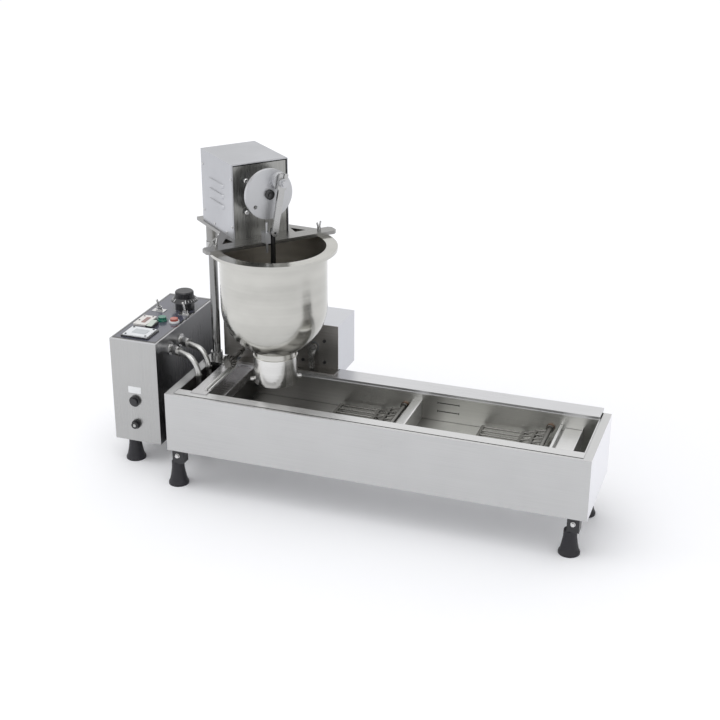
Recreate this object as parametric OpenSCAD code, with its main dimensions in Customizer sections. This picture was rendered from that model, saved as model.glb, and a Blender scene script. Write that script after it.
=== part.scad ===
// Automatic ring donut fryer: a long oil tank with two flippers, a swivelling head that
// carries the batter hopper with its plunger drive, a drive box behind the tank and a
// control box at its left end. Lengths in millimetres, +X along the tank, +Y to the rear.

/* [Tank] */
// Length of the tank shell
tank_l = 870; // [800:1:980]
// Depth of the tank shell from front to rear
tank_w = 214; // [206:1:240]
// Height of the tank shell
tank_h = 127; // [118:1:140]
// Height of the tank's underside above the floor
leg_h = 88; // [80:1:100]
// Thickness of the folded sheet
sheet = 1.5; // [1:0.1:2]
// Width of the rims at both ends of the shell
end_rim = 16; // [14:1:20]
// Gap between the pan's flange and the shell
pan_gap = 2; // [1:0.1:3]
// Distance from the shell's front to the pan's opening
pan_front = 30; // [26:1:34]
// Width of the linkage bay behind the pan
rear_bay = 34; // [32:1:40]
// Depth of the oil pan
pan_h = 105; // [96:1:110]
// Depth of the loose floor below the rim
floor_depth = 55; // [50:1:58]
// Height of the raised rear cover above the rim
cover_h = 4; // [3:0.5:6]
// Overhang of the rear cover behind the shell
cover_over = 11; // [8:1:14]

/* [Bridge plate] */
// Place of the bridge plate's left edge from the shell's left end
bridge_x = 48; // [46:1:54]
// Width of the bridge plate's upper step
bridge_w = 35; // [30:1:38]
// Width of the trough beside the step
trough_w = 35; // [30:1:40]
// Depth of the trough below the rim
trough_h = 19; // [14:1:24]
// Diameter of the two rails along the step
rail_d = 6; // [4:0.5:6]

/* [Flippers] */
// Distance of the second flipper's shaft from the shell's right end
flip_end = 113; // [108:1:120]
// Distance between the two flipper shafts
flip_pitch = 302; // [290:1:305]
// Depth of the flipper shafts below the rim
flip_depth = 32; // [30:1:34]
// Reach of a flipper's grid from its shaft
flip_reach = 137; // [120:1:142]
// Length of the grid's sloping part
flip_slope = 52; // [46:1:58]
// Drop of the grid's flat part below the shaft
flip_drop = 15; // [12:1:17]
// Diameter of the grid's rods
rod_d = 4; // [3:0.5:5]
// Number of rods in a grid
rod_count = 8; // [6:1:10]
// Diameter of the flipper shafts
shaft_d = 10; // [8:0.5:10]
// Running clearance of shafts and pins in their bores, on the radius
run_gap = 0.05; // [0.03:0.01:0.08]
// Length of the arms in the linkage bay
arm_r = 22; // [18:1:22]
// Diameter of the arm pins
arm_pin_d = 6; // [5:0.5:7]

/* [Divider and exit] */
// Distance from the first shaft to the divider's top edge
divider_x = 33; // [30:1:38]
// Depth of the divider's top edge below the rim
divider_depth = 15; // [12:1:18]
// Width of the divider's sloping lip
divider_lip = 20; // [16:1:20]
// Drop of the lip from the divider's top edge
divider_fall = 8; // [6:1:10]
// Distance from the second shaft to the exit chute's lip
exit_x = 19; // [18:1:22]
// Length of the exit chute
exit_l = 46; // [40:1:54]
// Depth of the exit chute below the rim
exit_depth = 28; // [25:1:30]

/* [Heater] */
// Diameter of the heater tube
tube_d = 12; // [9:0.5:12]
// Radius of the heater tube's upper bend
tube_bend = 36; // [32:1:40]
// Height of the heater glands above the floor
gland_z = 250; // [246:1:255]
// Distance of the front gland from the tank's rear
gland_y = 70; // [66:1:72]
// Distance between the two glands
gland_pitch = 48; // [44:1:50]
// Angle by which the tubes lean to the front
tube_lean = 25; // [22:1:27]
// Height of the heater above the pan's floor
heater_lift = 16; // [12:1:20]

/* [Feet] */
// Diameter of a foot at the floor
foot_base_d = 42.5; // [40:0.5:46]
// Diameter of a foot at its top
foot_top_d = 26; // [24:1:29]
// Height of a rubber foot
foot_h = 51; // [46:1:56]
// Distance of the left feet from the shell's left end
foot_left = 9; // [9:1:20]
// Distance of the right feet from the shell's right end
foot_right = 34; // [28:1:40]
// Distance of the tank's feet from the shell's front and rear
foot_side = 27; // [24:1:40]
// Width of a foot bracket
bracket_w = 30; // [26:1:34]

/* [Control box] */
// Width of the control box
control_w = 107; // [104:1:120]
// Depth of the control box
control_d = 282; // [270:1:300]
// Height of the control box
control_h = 232; // [225:1:245]
// Gap between the control box and the tank
control_gap = 57; // [50:1:64]
// Place of the control box's front behind the tank's front
control_y = 80; // [76:1:86]
// Diameter of the round push buttons
button_d = 17; // [14:0.5:18]
// Diameter of the dial's grip
dial_d = 41; // [36:1:43]
// Diameter of the dial's skirt
skirt_d = 60; // [54:1:62]
// Travel of the push buttons
button_travel = 3; // [2:0.5:4]
// Lean of the toggle levers from upright
toggle_lean = 13; // [8:1:14]
// Tilt of the rocker from level
rocker_tilt = 8; // [5:1:10]

/* [Column] */
// Diameter of the column
column_d = 18; // [16:1:20]
// Place of the column from the shell's left end
column_x = 25; // [24:1:27]
// Distance of the column from the tank's rear
column_rear = 14; // [13:0.5:15]

/* [Rear drive] */
// Place of the drive box's left end from the shell's left end
drive_x = 37; // [35:1:40]
// Width of the drive box
drive_w = 259; // [250:1:270]
// Depth of the drive box behind its front plate
drive_d = 101; // [95:1:115]
// Height of the drive box
drive_h = 98; // [90:1:106]
// Place of the drive crank from the shell's left end
drive_hub_x = 242; // [236:1:248]
// Radius of the drive crank's pin
drive_crank_r = 12; // [9:0.5:12]
// Outer diameter of the timing gear
gear_d = 30; // [26:1:31]
// Number of teeth of the timing gear
gear_teeth = 14; // [12:1:18]

/* [Hopper] */
// Place of the hopper's axis from the shell's left end
hopper_x = 200; // [196:1:204]
// Place of the hopper's axis behind the tank's front
hopper_y = 108; // [104:1:112]
// Outer diameter of the bowl
bowl_d = 213; // [200:1:218]
// Outer diameter of the rim's flange
rim_d = 254; // [250:1:262]
// Height of the bowl
bowl_h = 228; // [222:1:236]
// Wall of the hopper
hopper_t = 2; // [1.5:0.1:2.5]
// Outer diameter of the outlet tube
outlet_d = 86; // [82:1:88]
// Wall of the forming cylinder
nozzle_t = 1.9; // [1.5:0.1:2.5]
// Height of the forming cylinder
nozzle_h = 57; // [52:1:58]
// Length of the outlet tube below the bowl
outlet_l = 46; // [44:1:48]

/* [Head] */
// Turn of the head from the tank's length
head_turn = 49; // [45:1:52]
// Height of the hopper's rim above the floor
rim_z = 519; // [516:1:526]
// Thickness of the head plate
plate_t = 7; // [5:0.5:9]
// Half length of the bar across the hopper
bar_half = 142; // [138:1:146]
// Distance of the bar's front edge behind the plunger
bar_front = 6.5; // [6:0.5:8]
// Depth of the bar
bar_w = 29; // [26:1:31]
// Distance of the wing screws from the plunger
wing_x = 113; // [112:1:114]
// Width of the motor housing
motor_w = 120; // [112:1:124]
// Depth of the motor housing
motor_d = 150; // [142:1:154]
// Height of the motor housing
motor_h = 150; // [146:1:160]
// Distance of the motor housing's front behind the plunger
motor_y = 50; // [46:1:52]
// Diameter of the crank disc
disc_d = 100; // [96:1:104]
// Radius of the crank pin's path
crank_r = 32; // [28:1:33]
// Height of the crank's axis above the head plate
hub_h = 94; // [92:1:98]
// Angle of the crank pin above level at rest
pin_angle = 55; // [45:1:65]
// Length of the connecting rod between its eyes
rod_l = 100; // [96:1:102]
// Diameter of the crank pin
crank_pin_d = 12; // [10:0.5:12]
// Diameter of the plunger's rod
plunger_d = 10; // [8:0.5:10]
// Gap between the piston and the outlet tube
piston_gap = 1.5; // [1:0.1:2]

/* [Hidden] */
$fn = 64;
// Gap that keeps moving pieces clear of their neighbours
clear = 0.3;
// Overlap of cuts past a surface
cut = 1;

// Levels and faces of the tank
tank_top = leg_h + tank_h;
pan_left = end_rim + pan_gap;
pan_right = tank_l - end_rim - pan_gap;
pan_rear = tank_w - rear_bay;
pan_floor = tank_top - pan_h;
loose_floor = tank_top - floor_depth;
pan_flange = 5;
front_fold = 5.5;
front_gap = 3;
bracket_shift = 6;
cover_top = tank_top + cover_h + sheet;
cover_left = 78;
cover_right = tank_l - end_rim - pan_gap;

// Control box faces
control_right = -control_gap;
control_left = control_right - control_w;
control_rear = control_y + control_d;
control_z = foot_h;
control_top = control_z + control_h;

// Shared frame: the middle of the whole machine, on the floor
mid_x = (control_left + tank_l) / 2;
mid_y = (hopper_y - rim_d / 2 + control_rear) / 2;

// Flipper places
flip_x = tank_l - flip_end - flip_pitch;
flip_z = tank_top - flip_depth;
bush_r = shaft_d / 2 + 2.5;
bush_flange = 5;
bush_spigot = 4;
arm_t = 6;
arm_y = pan_rear + bush_spigot + 5;
arm_rest = 20;
link_t = 6;
link_h = 10;
link_y = arm_y + arm_t + 1;
pin_head_t = 3;

// Heater places
drop_in = 1.5;
low_bend = 28;
drop_x = pan_left + sheet + tube_d / 2 + drop_in;
drop_reach = (drop_x - control_right) / cos(tube_lean);
gland_front = tank_w - gland_y;
drop_y = gland_front - drop_reach * sin(tube_lean);
heater_z = pan_floor + sheet + heater_lift;
heater_end = pan_right - 60;
gland_d = 22;
gland_l = 30;

// Rear drive places
drive_y = tank_w;
drive_z = cover_top + sheet;
drive_hub_z = drive_z + 47;
drive_foot = 24;
drive_low = 18;
gear_x = drive_x + 43;
gear_y = pan_rear - 42;
gear_z = drive_z + gear_d / 2 + 1;
gear_t = 12;

// Column and head places
column_y = tank_w - column_rear;
head_z = rim_z + plate_t;
motor_rear = motor_y + motor_d;
hub_z = head_z + hub_h;
disc_y = 12;
disc_t = 8;
rod_t = 6;
rod_y = -plunger_d / 2 - clear - rod_t;
pin_x = crank_r * cos(pin_angle);
pin_z = hub_z + crank_r * sin(pin_angle);
eye_z = pin_z - sqrt(rod_l * rod_l - pin_x * pin_x);
column_dx = column_x - hopper_x;
column_dy = column_y - hopper_y;
column_local = [column_dx * cos(head_turn) + column_dy * sin(head_turn),
                column_dy * cos(head_turn) - column_dx * sin(head_turn)];
hub_r = column_d / 2 + 3;
hub_drop = 38;
collar_h = 18;
collar_top = rim_z - hub_drop - clear;
bowl_r = bowl_d / 2;
bowl_z = rim_z - bowl_h + bowl_r;
outlet_r = outlet_d / 2;
outlet_z = rim_z - bowl_h - outlet_l;
nozzle_z = outlet_z - 13;
nozzle_r = outlet_r + 0.1 + nozzle_t;
piston_r = outlet_r - hopper_t - piston_gap;
piston_z = rim_z - bowl_h + 20;
core_drop = 15;
bolt_x = 32;
bolt_z = [-42, 22];
bolt_d = 8;

// Panel places, from the control box's front left corner
controller_size = [65, 52];
controller_face = [57, 47];
controller_l = 0.25 * control_h;
timer_size = [31, 52];
timer_l = 0.18 * control_h;
rocker_size = [16, 33];
toggle_plate = [29, 18];
face_t = 5;
bezel_d = button_d + 4;
bezel_h = 4;
dial_neck_d = dial_d + 1;

// The panel's free depth and width are shared between the rows
free_d = control_d - controller_size[1] - rocker_size[1] - bezel_d - toggle_plate[1] - dial_neck_d;
free_w = control_w - timer_size[0] - 2 * bezel_d;
controller_rear = 0.145 * free_d + controller_size[1];
rocker_rear = controller_rear + 0.0155 * free_d + rocker_size[1];
button_rear = rocker_rear + 0.095 * free_d + bezel_d;
toggle_rear = button_rear + 0.27 * free_d + toggle_plate[1];
button_y = button_rear - bezel_d / 2;
toggle_y = toggle_rear - toggle_plate[1] / 2;
timer_right = 0.397 * free_w + timer_size[0];
button_x = timer_right + 0.148 * free_w + bezel_d / 2;
controller_at = [0.458 * control_w, controller_rear - controller_size[1] / 2];
timer_at = [timer_right - timer_size[0] / 2, controller_rear + 0.087 * free_d + timer_size[1] / 2];
rocker_at = [timer_right + 0.0735 * free_w + rocker_size[0] / 2, rocker_rear - rocker_size[1] / 2];
button_at = [[button_x, button_y], [button_x + bezel_d + 0.2195 * free_w, button_y]];
toggle_at = [[0.252 * control_w, toggle_y], [0.841 * control_w, toggle_y]];
dial_at = [0.682 * control_w, toggle_rear + 0.03 * free_d + dial_neck_d / 2];
toggle_base = 9;
neck_h = 19;
grip_top = 41;
regulator_l = 0.276 * control_h;
front_x = control_left + 0.486 * control_w;
reset_z = control_z + 0.41 * control_h;
fuse_z = control_z + 0.177 * control_h;
reset_d = 16;

// Moves a shape from the tank's corner to the shared frame
module in_frame() {
    translate([-mid_x, -mid_y, 0]) children();
}

// Moves a shape from the plunger's axis to the shared frame
module in_head() {
    in_frame() translate([hopper_x, hopper_y, 0]) rotate([0, 0, head_turn]) children();
}

// Cylinder along Y between two faces, at a place in the XZ plane
module y_bar(at, d, from, to, sides = 64) {
    translate([at[0], from, at[1]])
        rotate([-90, 0, 0])
            cylinder(d = d, h = to - from, $fn = sides);
}

// Cylinder along X between two faces, at a place in the YZ plane
module x_bar(at, d, from, to, sides = 64) {
    translate([from, at[0], at[1]])
        rotate([0, 90, 0])
            cylinder(d = d, h = to - from, $fn = sides);
}

// Box between two corners
module block(low, high) {
    translate(low) cube(high - low);
}

// Flat outline with round corners
module round_square(size, r) {
    translate([r, 0]) square([size[0] - 2 * r, size[1]]);
    translate([0, r]) square([size[0], size[1] - 2 * r]);
    for (x = [r, size[0] - r], y = [r, size[1] - r])
        translate([x, y]) circle(r);
}

// Flat bar with round eyes, a little narrower between them
module strap(from, to, w) {
    run = to - from;
    waist = 0.9 * w;
    translate(from) circle(d = w);
    translate(to) circle(d = w);
    translate(from)
        rotate(atan2(run[1], run[0]))
            translate([0, -waist / 2])
                square([norm(run), waist]);
}

// Stands a flat outline up in the XZ plane, from one Y to another
module upright(from, to) {
    translate([0, to, 0])
        rotate([90, 0, 0])
            linear_extrude(to - from)
                children();
}

// Places of the four tank feet
module at_tank_feet() {
    for (x = [foot_left, tank_l - foot_right], y = [foot_side, tank_w - foot_side])
        translate([x, y, 0]) children();
}

// Tank

module tank_shell() {
    color("Gainsboro") in_frame() {
        difference() {
            block([0, 0, leg_h], [tank_l, tank_w, tank_top]);
            block([sheet, sheet, leg_h + sheet],
                  [tank_l - sheet, tank_w - sheet, tank_top + cut]);
        }
        // Folded rims at both ends
        block([0, 0, tank_top - sheet], [end_rim, tank_w, tank_top]);
        block([tank_l - end_rim, 0, tank_top - sheet], [tank_l, tank_w, tank_top]);
        // Ledges that carry the pan's flange
        block([0, 0, tank_top - 2 * sheet],
              [pan_left - pan_gap / 4, pan_rear - 2 * pan_gap, tank_top - sheet]);
        block([pan_right + pan_gap / 4, 0, tank_top - 2 * sheet],
              [tank_l, pan_rear - 2 * pan_gap, tank_top - sheet]);
        block([0, front_fold + front_gap + 0.5, tank_top - 2 * sheet],
              [tank_l, pan_front - 2 * pan_gap, tank_top - sheet]);
        // Fold along the top of the front
        block([0, 0, tank_top - sheet], [tank_l, front_fold, tank_top]);
        // Corner plate under the column's base
        block([0, pan_rear + pan_flange + 1, tank_top - sheet],
              [cover_left - 4, tank_w, tank_top]);
    }
}

module oil_pan() {
    color("Silver") in_frame()
        difference() {
            union() {
                block([pan_left, pan_front, pan_floor], [pan_right, pan_rear, tank_top]);
                block([end_rim + pan_gap / 2, front_fold + front_gap, tank_top - sheet],
                      [tank_l - end_rim - pan_gap / 2, pan_rear + pan_flange, tank_top]);
            }
            block([pan_left + sheet, pan_front + sheet, pan_floor + sheet],
                  [pan_right - sheet, pan_rear - sheet, tank_top + cut]);
            for (x = [flip_x, flip_x + flip_pitch])
                y_bar([x, flip_z], 2 * bush_r, pan_rear - sheet - cut, pan_rear + cut);
        }
}

module loose_floor_plate() {
    floor_left = bridge_x + bridge_w + trough_w + 8;
    floor_right = flip_x + flip_pitch + exit_x + exit_l;
    leg_w = 10;
    color("DarkGray") in_frame() {
        block([floor_left, pan_front + sheet + 1, loose_floor - sheet],
              [floor_right, pan_rear - sheet - 1, loose_floor]);
        // Legs that stand on the pan's floor
        for (x = [floor_left, floor_right - leg_w],
             y = [pan_front + sheet + 1, pan_rear - sheet - 1 - 2])
            block([x, y, pan_floor + sheet], [x + leg_w, y + 2, loose_floor - sheet]);
    }
}

module rear_cover() {
    rear = tank_w + cover_over;
    color("Silver") in_frame()
        difference() {
            block([cover_left, pan_rear, tank_top], [cover_right, rear, cover_top]);
            block([cover_left + sheet, pan_rear + sheet, tank_top - cut],
                  [cover_right - sheet, rear - sheet, cover_top - sheet]);
            // Slots that the drive reaches through
            for (x = [-26, 0])
                block([drive_hub_x + x - 6, drive_y - drive_foot + 8, tank_top],
                      [drive_hub_x + x + 6, drive_y - drive_foot + 13, cover_top + cut]);
        }
}

module bridge_plate() {
    step_right = bridge_x + bridge_w;
    trough_right = step_right + trough_w;
    trough_z = tank_top - trough_h;
    front = pan_front + sheet + 0.5;
    rear = pan_rear - sheet - 0.5;
    tab = 8;
    color("WhiteSmoke") in_frame() {
        block([bridge_x, front, tank_top - sheet], [step_right, rear, tank_top]);
        block([bridge_x, front, tank_top - 12], [bridge_x + sheet, rear, tank_top]);
        block([step_right - sheet, front, trough_z], [step_right, rear, tank_top]);
        block([step_right - sheet, front, trough_z],
              [trough_right, rear, trough_z + sheet]);
        block([trough_right - sheet, front, trough_z], [trough_right, rear, tank_top - 1]);
        // Rear end of the trough, with a tab that rests on the pan's wall
        block([step_right - sheet, rear - sheet, trough_z], [trough_right, rear, tank_top - 1]);
        block([step_right + 7, rear - sheet, tank_top - 3],
              [step_right + 29, rear, tank_top + sheet]);
        block([step_right + 7, rear - sheet, tank_top],
              [step_right + 29, pan_rear - 0.5, tank_top + sheet]);
        // Tabs that rest on the pan's flange
        block([bridge_x, pan_front - tab, tank_top], [step_right, front + tab, tank_top + sheet]);
        block([bridge_x, rear - tab, tank_top], [step_right, pan_rear - 0.5, tank_top + sheet]);
    }
}

module bridge_rail() {
    right = bridge_x + bridge_w - rail_d / 2 + 2;
    color("WhiteSmoke") in_frame()
        for (x = [right - rail_d - 2.5, right])
            y_bar([x, tank_top + rail_d / 2], rail_d,
                  pan_front + sheet + 9, pan_rear - sheet - 9);
}

module divider() {
    top = tank_top - divider_depth;
    x = flip_x + divider_x;
    foot = 19;
    lip_t = 1.07 * sheet;
    steep = (top - loose_floor) / foot;
    // Where the lip's underside meets the slope
    join = lip_t / (steep - divider_fall / divider_lip);
    color("Gainsboro") in_frame()
        upright(pan_front + sheet + 0.5, pan_rear - sheet - 0.5)
            polygon([[x - foot, loose_floor], [x - join, top - steep * join],
                     [x - divider_lip, top - divider_fall - lip_t],
                     [x - divider_lip, top - divider_fall],
                     [x, top], [x + 3, top], [x + 3, loose_floor],
                     [x + 3 - sheet, loose_floor], [x + 3 - sheet, top - sheet],
                     [x + 0.8, top - sheet], [x - foot + 2, loose_floor]]);
}

module exit_chute() {
    lip_x = flip_x + flip_pitch + exit_x;
    end_x = lip_x + exit_l;
    z = tank_top - exit_depth;
    front = pan_front + sheet + 1;
    rear = pan_rear - sheet - 1;
    color("Gainsboro") in_frame() {
        // Lip, trough and plate of one folded sheet
        block([lip_x, front, loose_floor], [lip_x + sheet, rear, z + 6]);
        block([lip_x, front, z + 6 - sheet], [lip_x + 5, rear, z + 6]);
        block([lip_x, front, z - 8], [lip_x + 11, rear, z - 8 + sheet]);
        block([lip_x + 10, front, z - 8], [lip_x + 10 + sheet, rear, z]);
        block([lip_x + 10, front, z - sheet], [end_x, rear, z]);
        block([end_x - sheet, front, loose_floor], [end_x, rear, z + 5]);
    }
}

// One tube from its gland to the heater's level, leaning to the front
module heater_leg(y) {
    run = drop_reach - tube_bend;
    drop = gland_z - heater_z;
    translate([control_right, y, gland_z]) rotate([0, 0, -tube_lean]) {
        rotate([0, 90, 0]) cylinder(d = tube_d, h = run);
        translate([run, 0, -tube_bend])
            rotate([90, 0, 0])
                rotate_extrude(angle = 90) translate([tube_bend, 0]) circle(d = tube_d);
    }
    // The upright tube and the bend meet in a sleeve
    translate([drop_x, y - drop_reach * sin(tube_lean), heater_z + low_bend]) {
        cylinder(d = tube_d, h = drop - tube_bend - low_bend);
        translate([0, 0, drop - tube_bend - low_bend - 4]) cylinder(d = tube_d + 1.5, h = 8);
    }
}

module heater_element() {
    turn_r = gland_pitch / 2;
    color("LightGray") in_frame() {
        for (i = [0, 1]) {
            heater_leg(gland_front + i * gland_pitch);
            translate([drop_x + low_bend, drop_y + i * gland_pitch, heater_z + low_bend])
                rotate([90, 0, 0]) rotate([0, 0, 180])
                    rotate_extrude(angle = 90) translate([low_bend, 0]) circle(d = tube_d);
            x_bar([drop_y + i * gland_pitch, heater_z], tube_d, drop_x + low_bend, heater_end);
        }
        translate([heater_end, drop_y + turn_r, heater_z])
            rotate([0, 0, -90])
                rotate_extrude(angle = 180) translate([turn_r, 0]) circle(d = tube_d);
    }
}

module heater_glands() {
    color("LightGray") in_frame()
        for (i = [0, 1])
            translate([control_right, gland_front + i * gland_pitch, gland_z])
                difference() {
                    union() {
                        rotate([0, 90, 0]) cylinder(d = gland_d + 6, h = 3);
                        rotate([0, 0, -tube_lean]) rotate([0, 90, 0]) {
                            translate([0, 0, 2]) cylinder(d = gland_d - 5, h = gland_l - 2);
                            translate([0, 0, gland_l - 12]) cylinder(d = gland_d, h = 12, $fn = 6);
                        }
                    }
                    rotate([0, 0, -tube_lean]) rotate([0, 90, 0])
                        translate([0, 0, -gland_d])
                            cylinder(d = tube_d + 0.1, h = gland_l + gland_d + cut);
                    block([-gland_d, -gland_d, -gland_d], [0, gland_d, gland_d]);
                }
}

module shaft_bushes() {
    inner_front = pan_front + sheet;
    inner_rear = pan_rear - sheet;
    color("DarkGoldenrod") in_frame()
        for (x = [flip_x, flip_x + flip_pitch]) {
            difference() {
                y_bar([x, flip_z], 2 * bush_r, inner_front, inner_front + bush_flange);
                y_bar([x, flip_z], shaft_d + 2 * run_gap, inner_front + 1,
                      inner_front + bush_flange + cut);
            }
            difference() {
                union() {
                    y_bar([x, flip_z], 2 * bush_r + 2, inner_rear - bush_flange, inner_rear);
                    y_bar([x, flip_z], 2 * bush_r - 0.1, inner_rear - 1,
                          pan_rear + bush_spigot);
                }
                y_bar([x, flip_z], shaft_d + 2 * run_gap, inner_rear - bush_flange - cut,
                      pan_rear + bush_spigot + cut);
            }
        }
}

module foot_brackets() {
    plate = 3;
    color("DimGray") in_frame() at_tank_feet() translate([bracket_shift, 0, 0]) {
        translate([-bracket_w / 2, -bracket_w / 2, leg_h - plate])
            cube([bracket_w, bracket_w, plate]);
        translate([-bracket_w / 2 + 3, -bracket_w / 2 + 3, foot_h])
            cube([bracket_w - 6, bracket_w - 6, leg_h - foot_h - plate]);
    }
}

module foot_bolts() {
    face = bracket_w / 2 - 3;
    color("LightGray") in_frame()
        for (x = [foot_left, tank_l - foot_right], side = [-1, 1]) {
            y = side < 0 ? foot_side : tank_w - foot_side;
            z = (foot_h + leg_h) / 2;
            translate([x + bracket_shift, y + side * face, z])
                rotate([-90 * side, 0, 0]) {
                    cylinder(d = 10, h = 1.2);
                    cylinder(d = 8.4, h = 5, $fn = 6);
                }
        }
}

// Bell of rubber with a hollow at its base
module rubber_foot() {
    base = foot_base_d / 2;
    top = foot_top_d / 2;
    hollow = base - 8;
    rotate_extrude()
        polygon([[hollow, 0], [base, 0], [base, 4], [base - 3, 10], [top + 2.5, 0.45 * foot_h],
                 [top + 0.5, 0.7 * foot_h], [top, foot_h], [0, foot_h], [0, 5], [hollow, 5]]);
}

module tank_feet() {
    color("#202022") in_frame() at_tank_feet() rubber_foot();
}

module control_feet() {
    color("#202022") in_frame() {
        translate([control_left + control_w / 2 - 19, control_y + 20, 0]) rubber_foot();
        translate([control_left + control_w / 2, control_rear - 24, 0]) rubber_foot();
    }
}

module joining_channel() {
    front = control_y + 40;
    w = 60;
    z = leg_h + 12;
    h = 34;
    color("DimGray") in_frame()
        difference() {
            block([control_right, front, z], [0, front + w, z + h]);
            block([control_right - cut, front + 2, z + 2], [cut, front + w - 2, z + h - 2]);
        }
}

// Column

module column() {
    color("LightGray") in_frame()
        translate([column_x, column_y, tank_top])
            cylinder(d = column_d, h = head_z - 2 - tank_top);
}

module column_base() {
    half = column_d / 2 + 11;
    front = 28;
    color("Silver") in_frame()
        translate([column_x, column_y, tank_top])
            difference() {
                union() {
                    translate([-half, -front, 0]) cube([2 * half, front + column_rear - 1, 4]);
                    cylinder(d = column_d + 7, h = 18);
                }
                translate([0, 0, -cut]) cylinder(d = column_d + 2 * run_gap, h = 18 + 2 * cut);
            }
}

module column_collar() {
    color("Silver") in_frame()
        translate([column_x, column_y, collar_top - collar_h])
            difference() {
                union() {
                    cylinder(d = column_d + 8, h = collar_h);
                    translate([column_d / 2 + 2, -4, 3]) cube([9, 8, collar_h - 6]);
                }
                translate([0, 0, -cut]) cylinder(d = column_d + 2 * run_gap, h = collar_h + 2 * cut);
                translate([column_d / 2 - 2, -0.75, -cut]) cube([20, 1.5, collar_h + 2 * cut]);
            }
}

// Rear drive

module rear_plate() {
    right = drive_x + drive_w;
    color("DarkGray") in_frame()
        difference() {
            union() {
                block([drive_x, drive_y, drive_z - sheet],
                      [right, drive_y + sheet, drive_z + drive_h]);
                block([cover_left + 2, drive_y - drive_foot, cover_top],
                      [right, drive_y + sheet, cover_top + sheet]);
            }
            y_bar([drive_hub_x, drive_hub_z], 24, drive_y - cut, drive_y + sheet + cut);
            y_bar([gear_x, gear_z], 8.6, drive_y - cut, drive_y + sheet + cut);
            for (x = [-26, 0])
                block([drive_hub_x + x - 6, drive_y - drive_foot + 8, cover_top - cut],
                      [drive_hub_x + x + 6, drive_y - drive_foot + 13, cover_top + sheet + cut]);
        }
}

module rear_box_cover() {
    right = drive_x + drive_w;
    front = drive_y + sheet;
    rear = drive_y + drive_d;
    top = drive_z + drive_h;
    step = tank_w + cover_over + 1;
    low = drive_z - drive_low;
    color("Gainsboro") in_frame()
        difference() {
            union() {
                block([drive_x, front, drive_z], [right, rear, top]);
                block([drive_x, step, low], [right, rear, top]);
            }
            block([drive_x + sheet, front - cut, drive_z + sheet],
                  [right - sheet, rear - sheet, top - sheet]);
            block([drive_x + sheet, step + sheet, low + sheet],
                  [right - sheet, rear - sheet, top - sheet]);
        }
}

module rear_gear_motor() {
    front = drive_y + sheet;
    gearbox = 64;
    gearbox_d = 34;
    motor_l = drive_d - gearbox_d - 10;
    color("DimGray") in_frame() {
        difference() {
            union() {
                block([drive_hub_x - gearbox / 2, front, drive_hub_z - 40],
                      [drive_hub_x + gearbox / 2, front + gearbox_d, drive_hub_z + 40]);
                y_bar([drive_hub_x, drive_hub_z - 6], 58, front + gearbox_d - 1,
                      front + gearbox_d + motor_l);
            }
            y_bar([drive_hub_x, drive_hub_z], 10 + 2 * run_gap, front - cut, front + 22);
        }
        // Long casing to the second output that carries the timing gear
        difference() {
            block([gear_x - 12, front, gear_z - 12],
                  [drive_hub_x - gearbox / 2 + 1, front + 20, gear_z + 12]);
            y_bar([gear_x, gear_z], 8 + 2 * run_gap, front - cut, front + 15);
        }
    }
}

module rear_screws() {
    span = 24;
    color("DimGray") in_frame()
        for (x = [-span, span], z = [-span, span])
            y_bar([drive_hub_x + x, drive_hub_z - 9 + z], 7, drive_y - 2.5, drive_y);
}

// Fixed lever on its boss beside the timing gear
module trip_lever() {
    boss = [gear_x + 1, gear_z + 27];
    tip = [gear_x + 14, gear_z + 10];
    color("LightGray") in_frame() {
        upright(drive_y - 12, drive_y - 6) strap(boss, tip, 8);
        y_bar(boss, 14, drive_y - 12, drive_y);
        y_bar(boss, 9, drive_y - 16, drive_y - 12 + cut, 6);
    }
}

module drive_crank() {
    color("Silver") in_frame() {
        y_bar([drive_hub_x, drive_hub_z], 10, drive_y - 6, drive_y + sheet + 21);
        y_bar([drive_hub_x, drive_hub_z], 20, drive_y - 10, drive_y - 2);
        upright(drive_y - 10, drive_y - 5)
            strap([drive_hub_x, drive_hub_z], [drive_hub_x, drive_hub_z - drive_crank_r], 14);
        y_bar([drive_hub_x, drive_hub_z - drive_crank_r], 6, drive_y - 18, drive_y - 6);
        y_bar([drive_hub_x, drive_hub_z - drive_crank_r], 10, drive_y - 19, drive_y - 16.5);
    }
}

module drive_link() {
    top = drive_hub_z - drive_crank_r;
    bottom = cover_top + sheet + 8;
    color("LightGray") in_frame()
        upright(drive_y - 16, drive_y - 10 - clear)
            difference() {
                strap([drive_hub_x, top], [drive_hub_x, bottom], 12);
                translate([drive_hub_x, top]) circle(d = 6 + 2 * run_gap);
                translate([drive_hub_x, bottom]) circle(d = 6 + 2 * run_gap);
            }
}

// Toothed outline: four points for each tooth
module gear_outline(d, teeth, depth) {
    step = 360 / teeth;
    tip = d / 2;
    root = tip - depth;
    polygon([for (i = [0 : teeth - 1], k = [0 : 3])
        let (a = (i + [0, 0.3, 0.42, 0.88][k]) * step, r = k < 2 ? tip : root)
        [r * cos(a), r * sin(a)]]);
}

module timing_gear() {
    color("Silver") in_frame() {
        upright(gear_y, gear_y + gear_t)
            translate([gear_x, gear_z]) gear_outline(gear_d, gear_teeth, 5.5);
        y_bar([gear_x, gear_z], 16, gear_y - 4, gear_y + 1);
        y_bar([gear_x, gear_z], 8, gear_y, drive_y + sheet + 14);
        for (y = [gear_y + 22, drive_y - 22])
            y_bar([gear_x, gear_z], 13, y, y + 8);
    }
}

// Flippers

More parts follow.
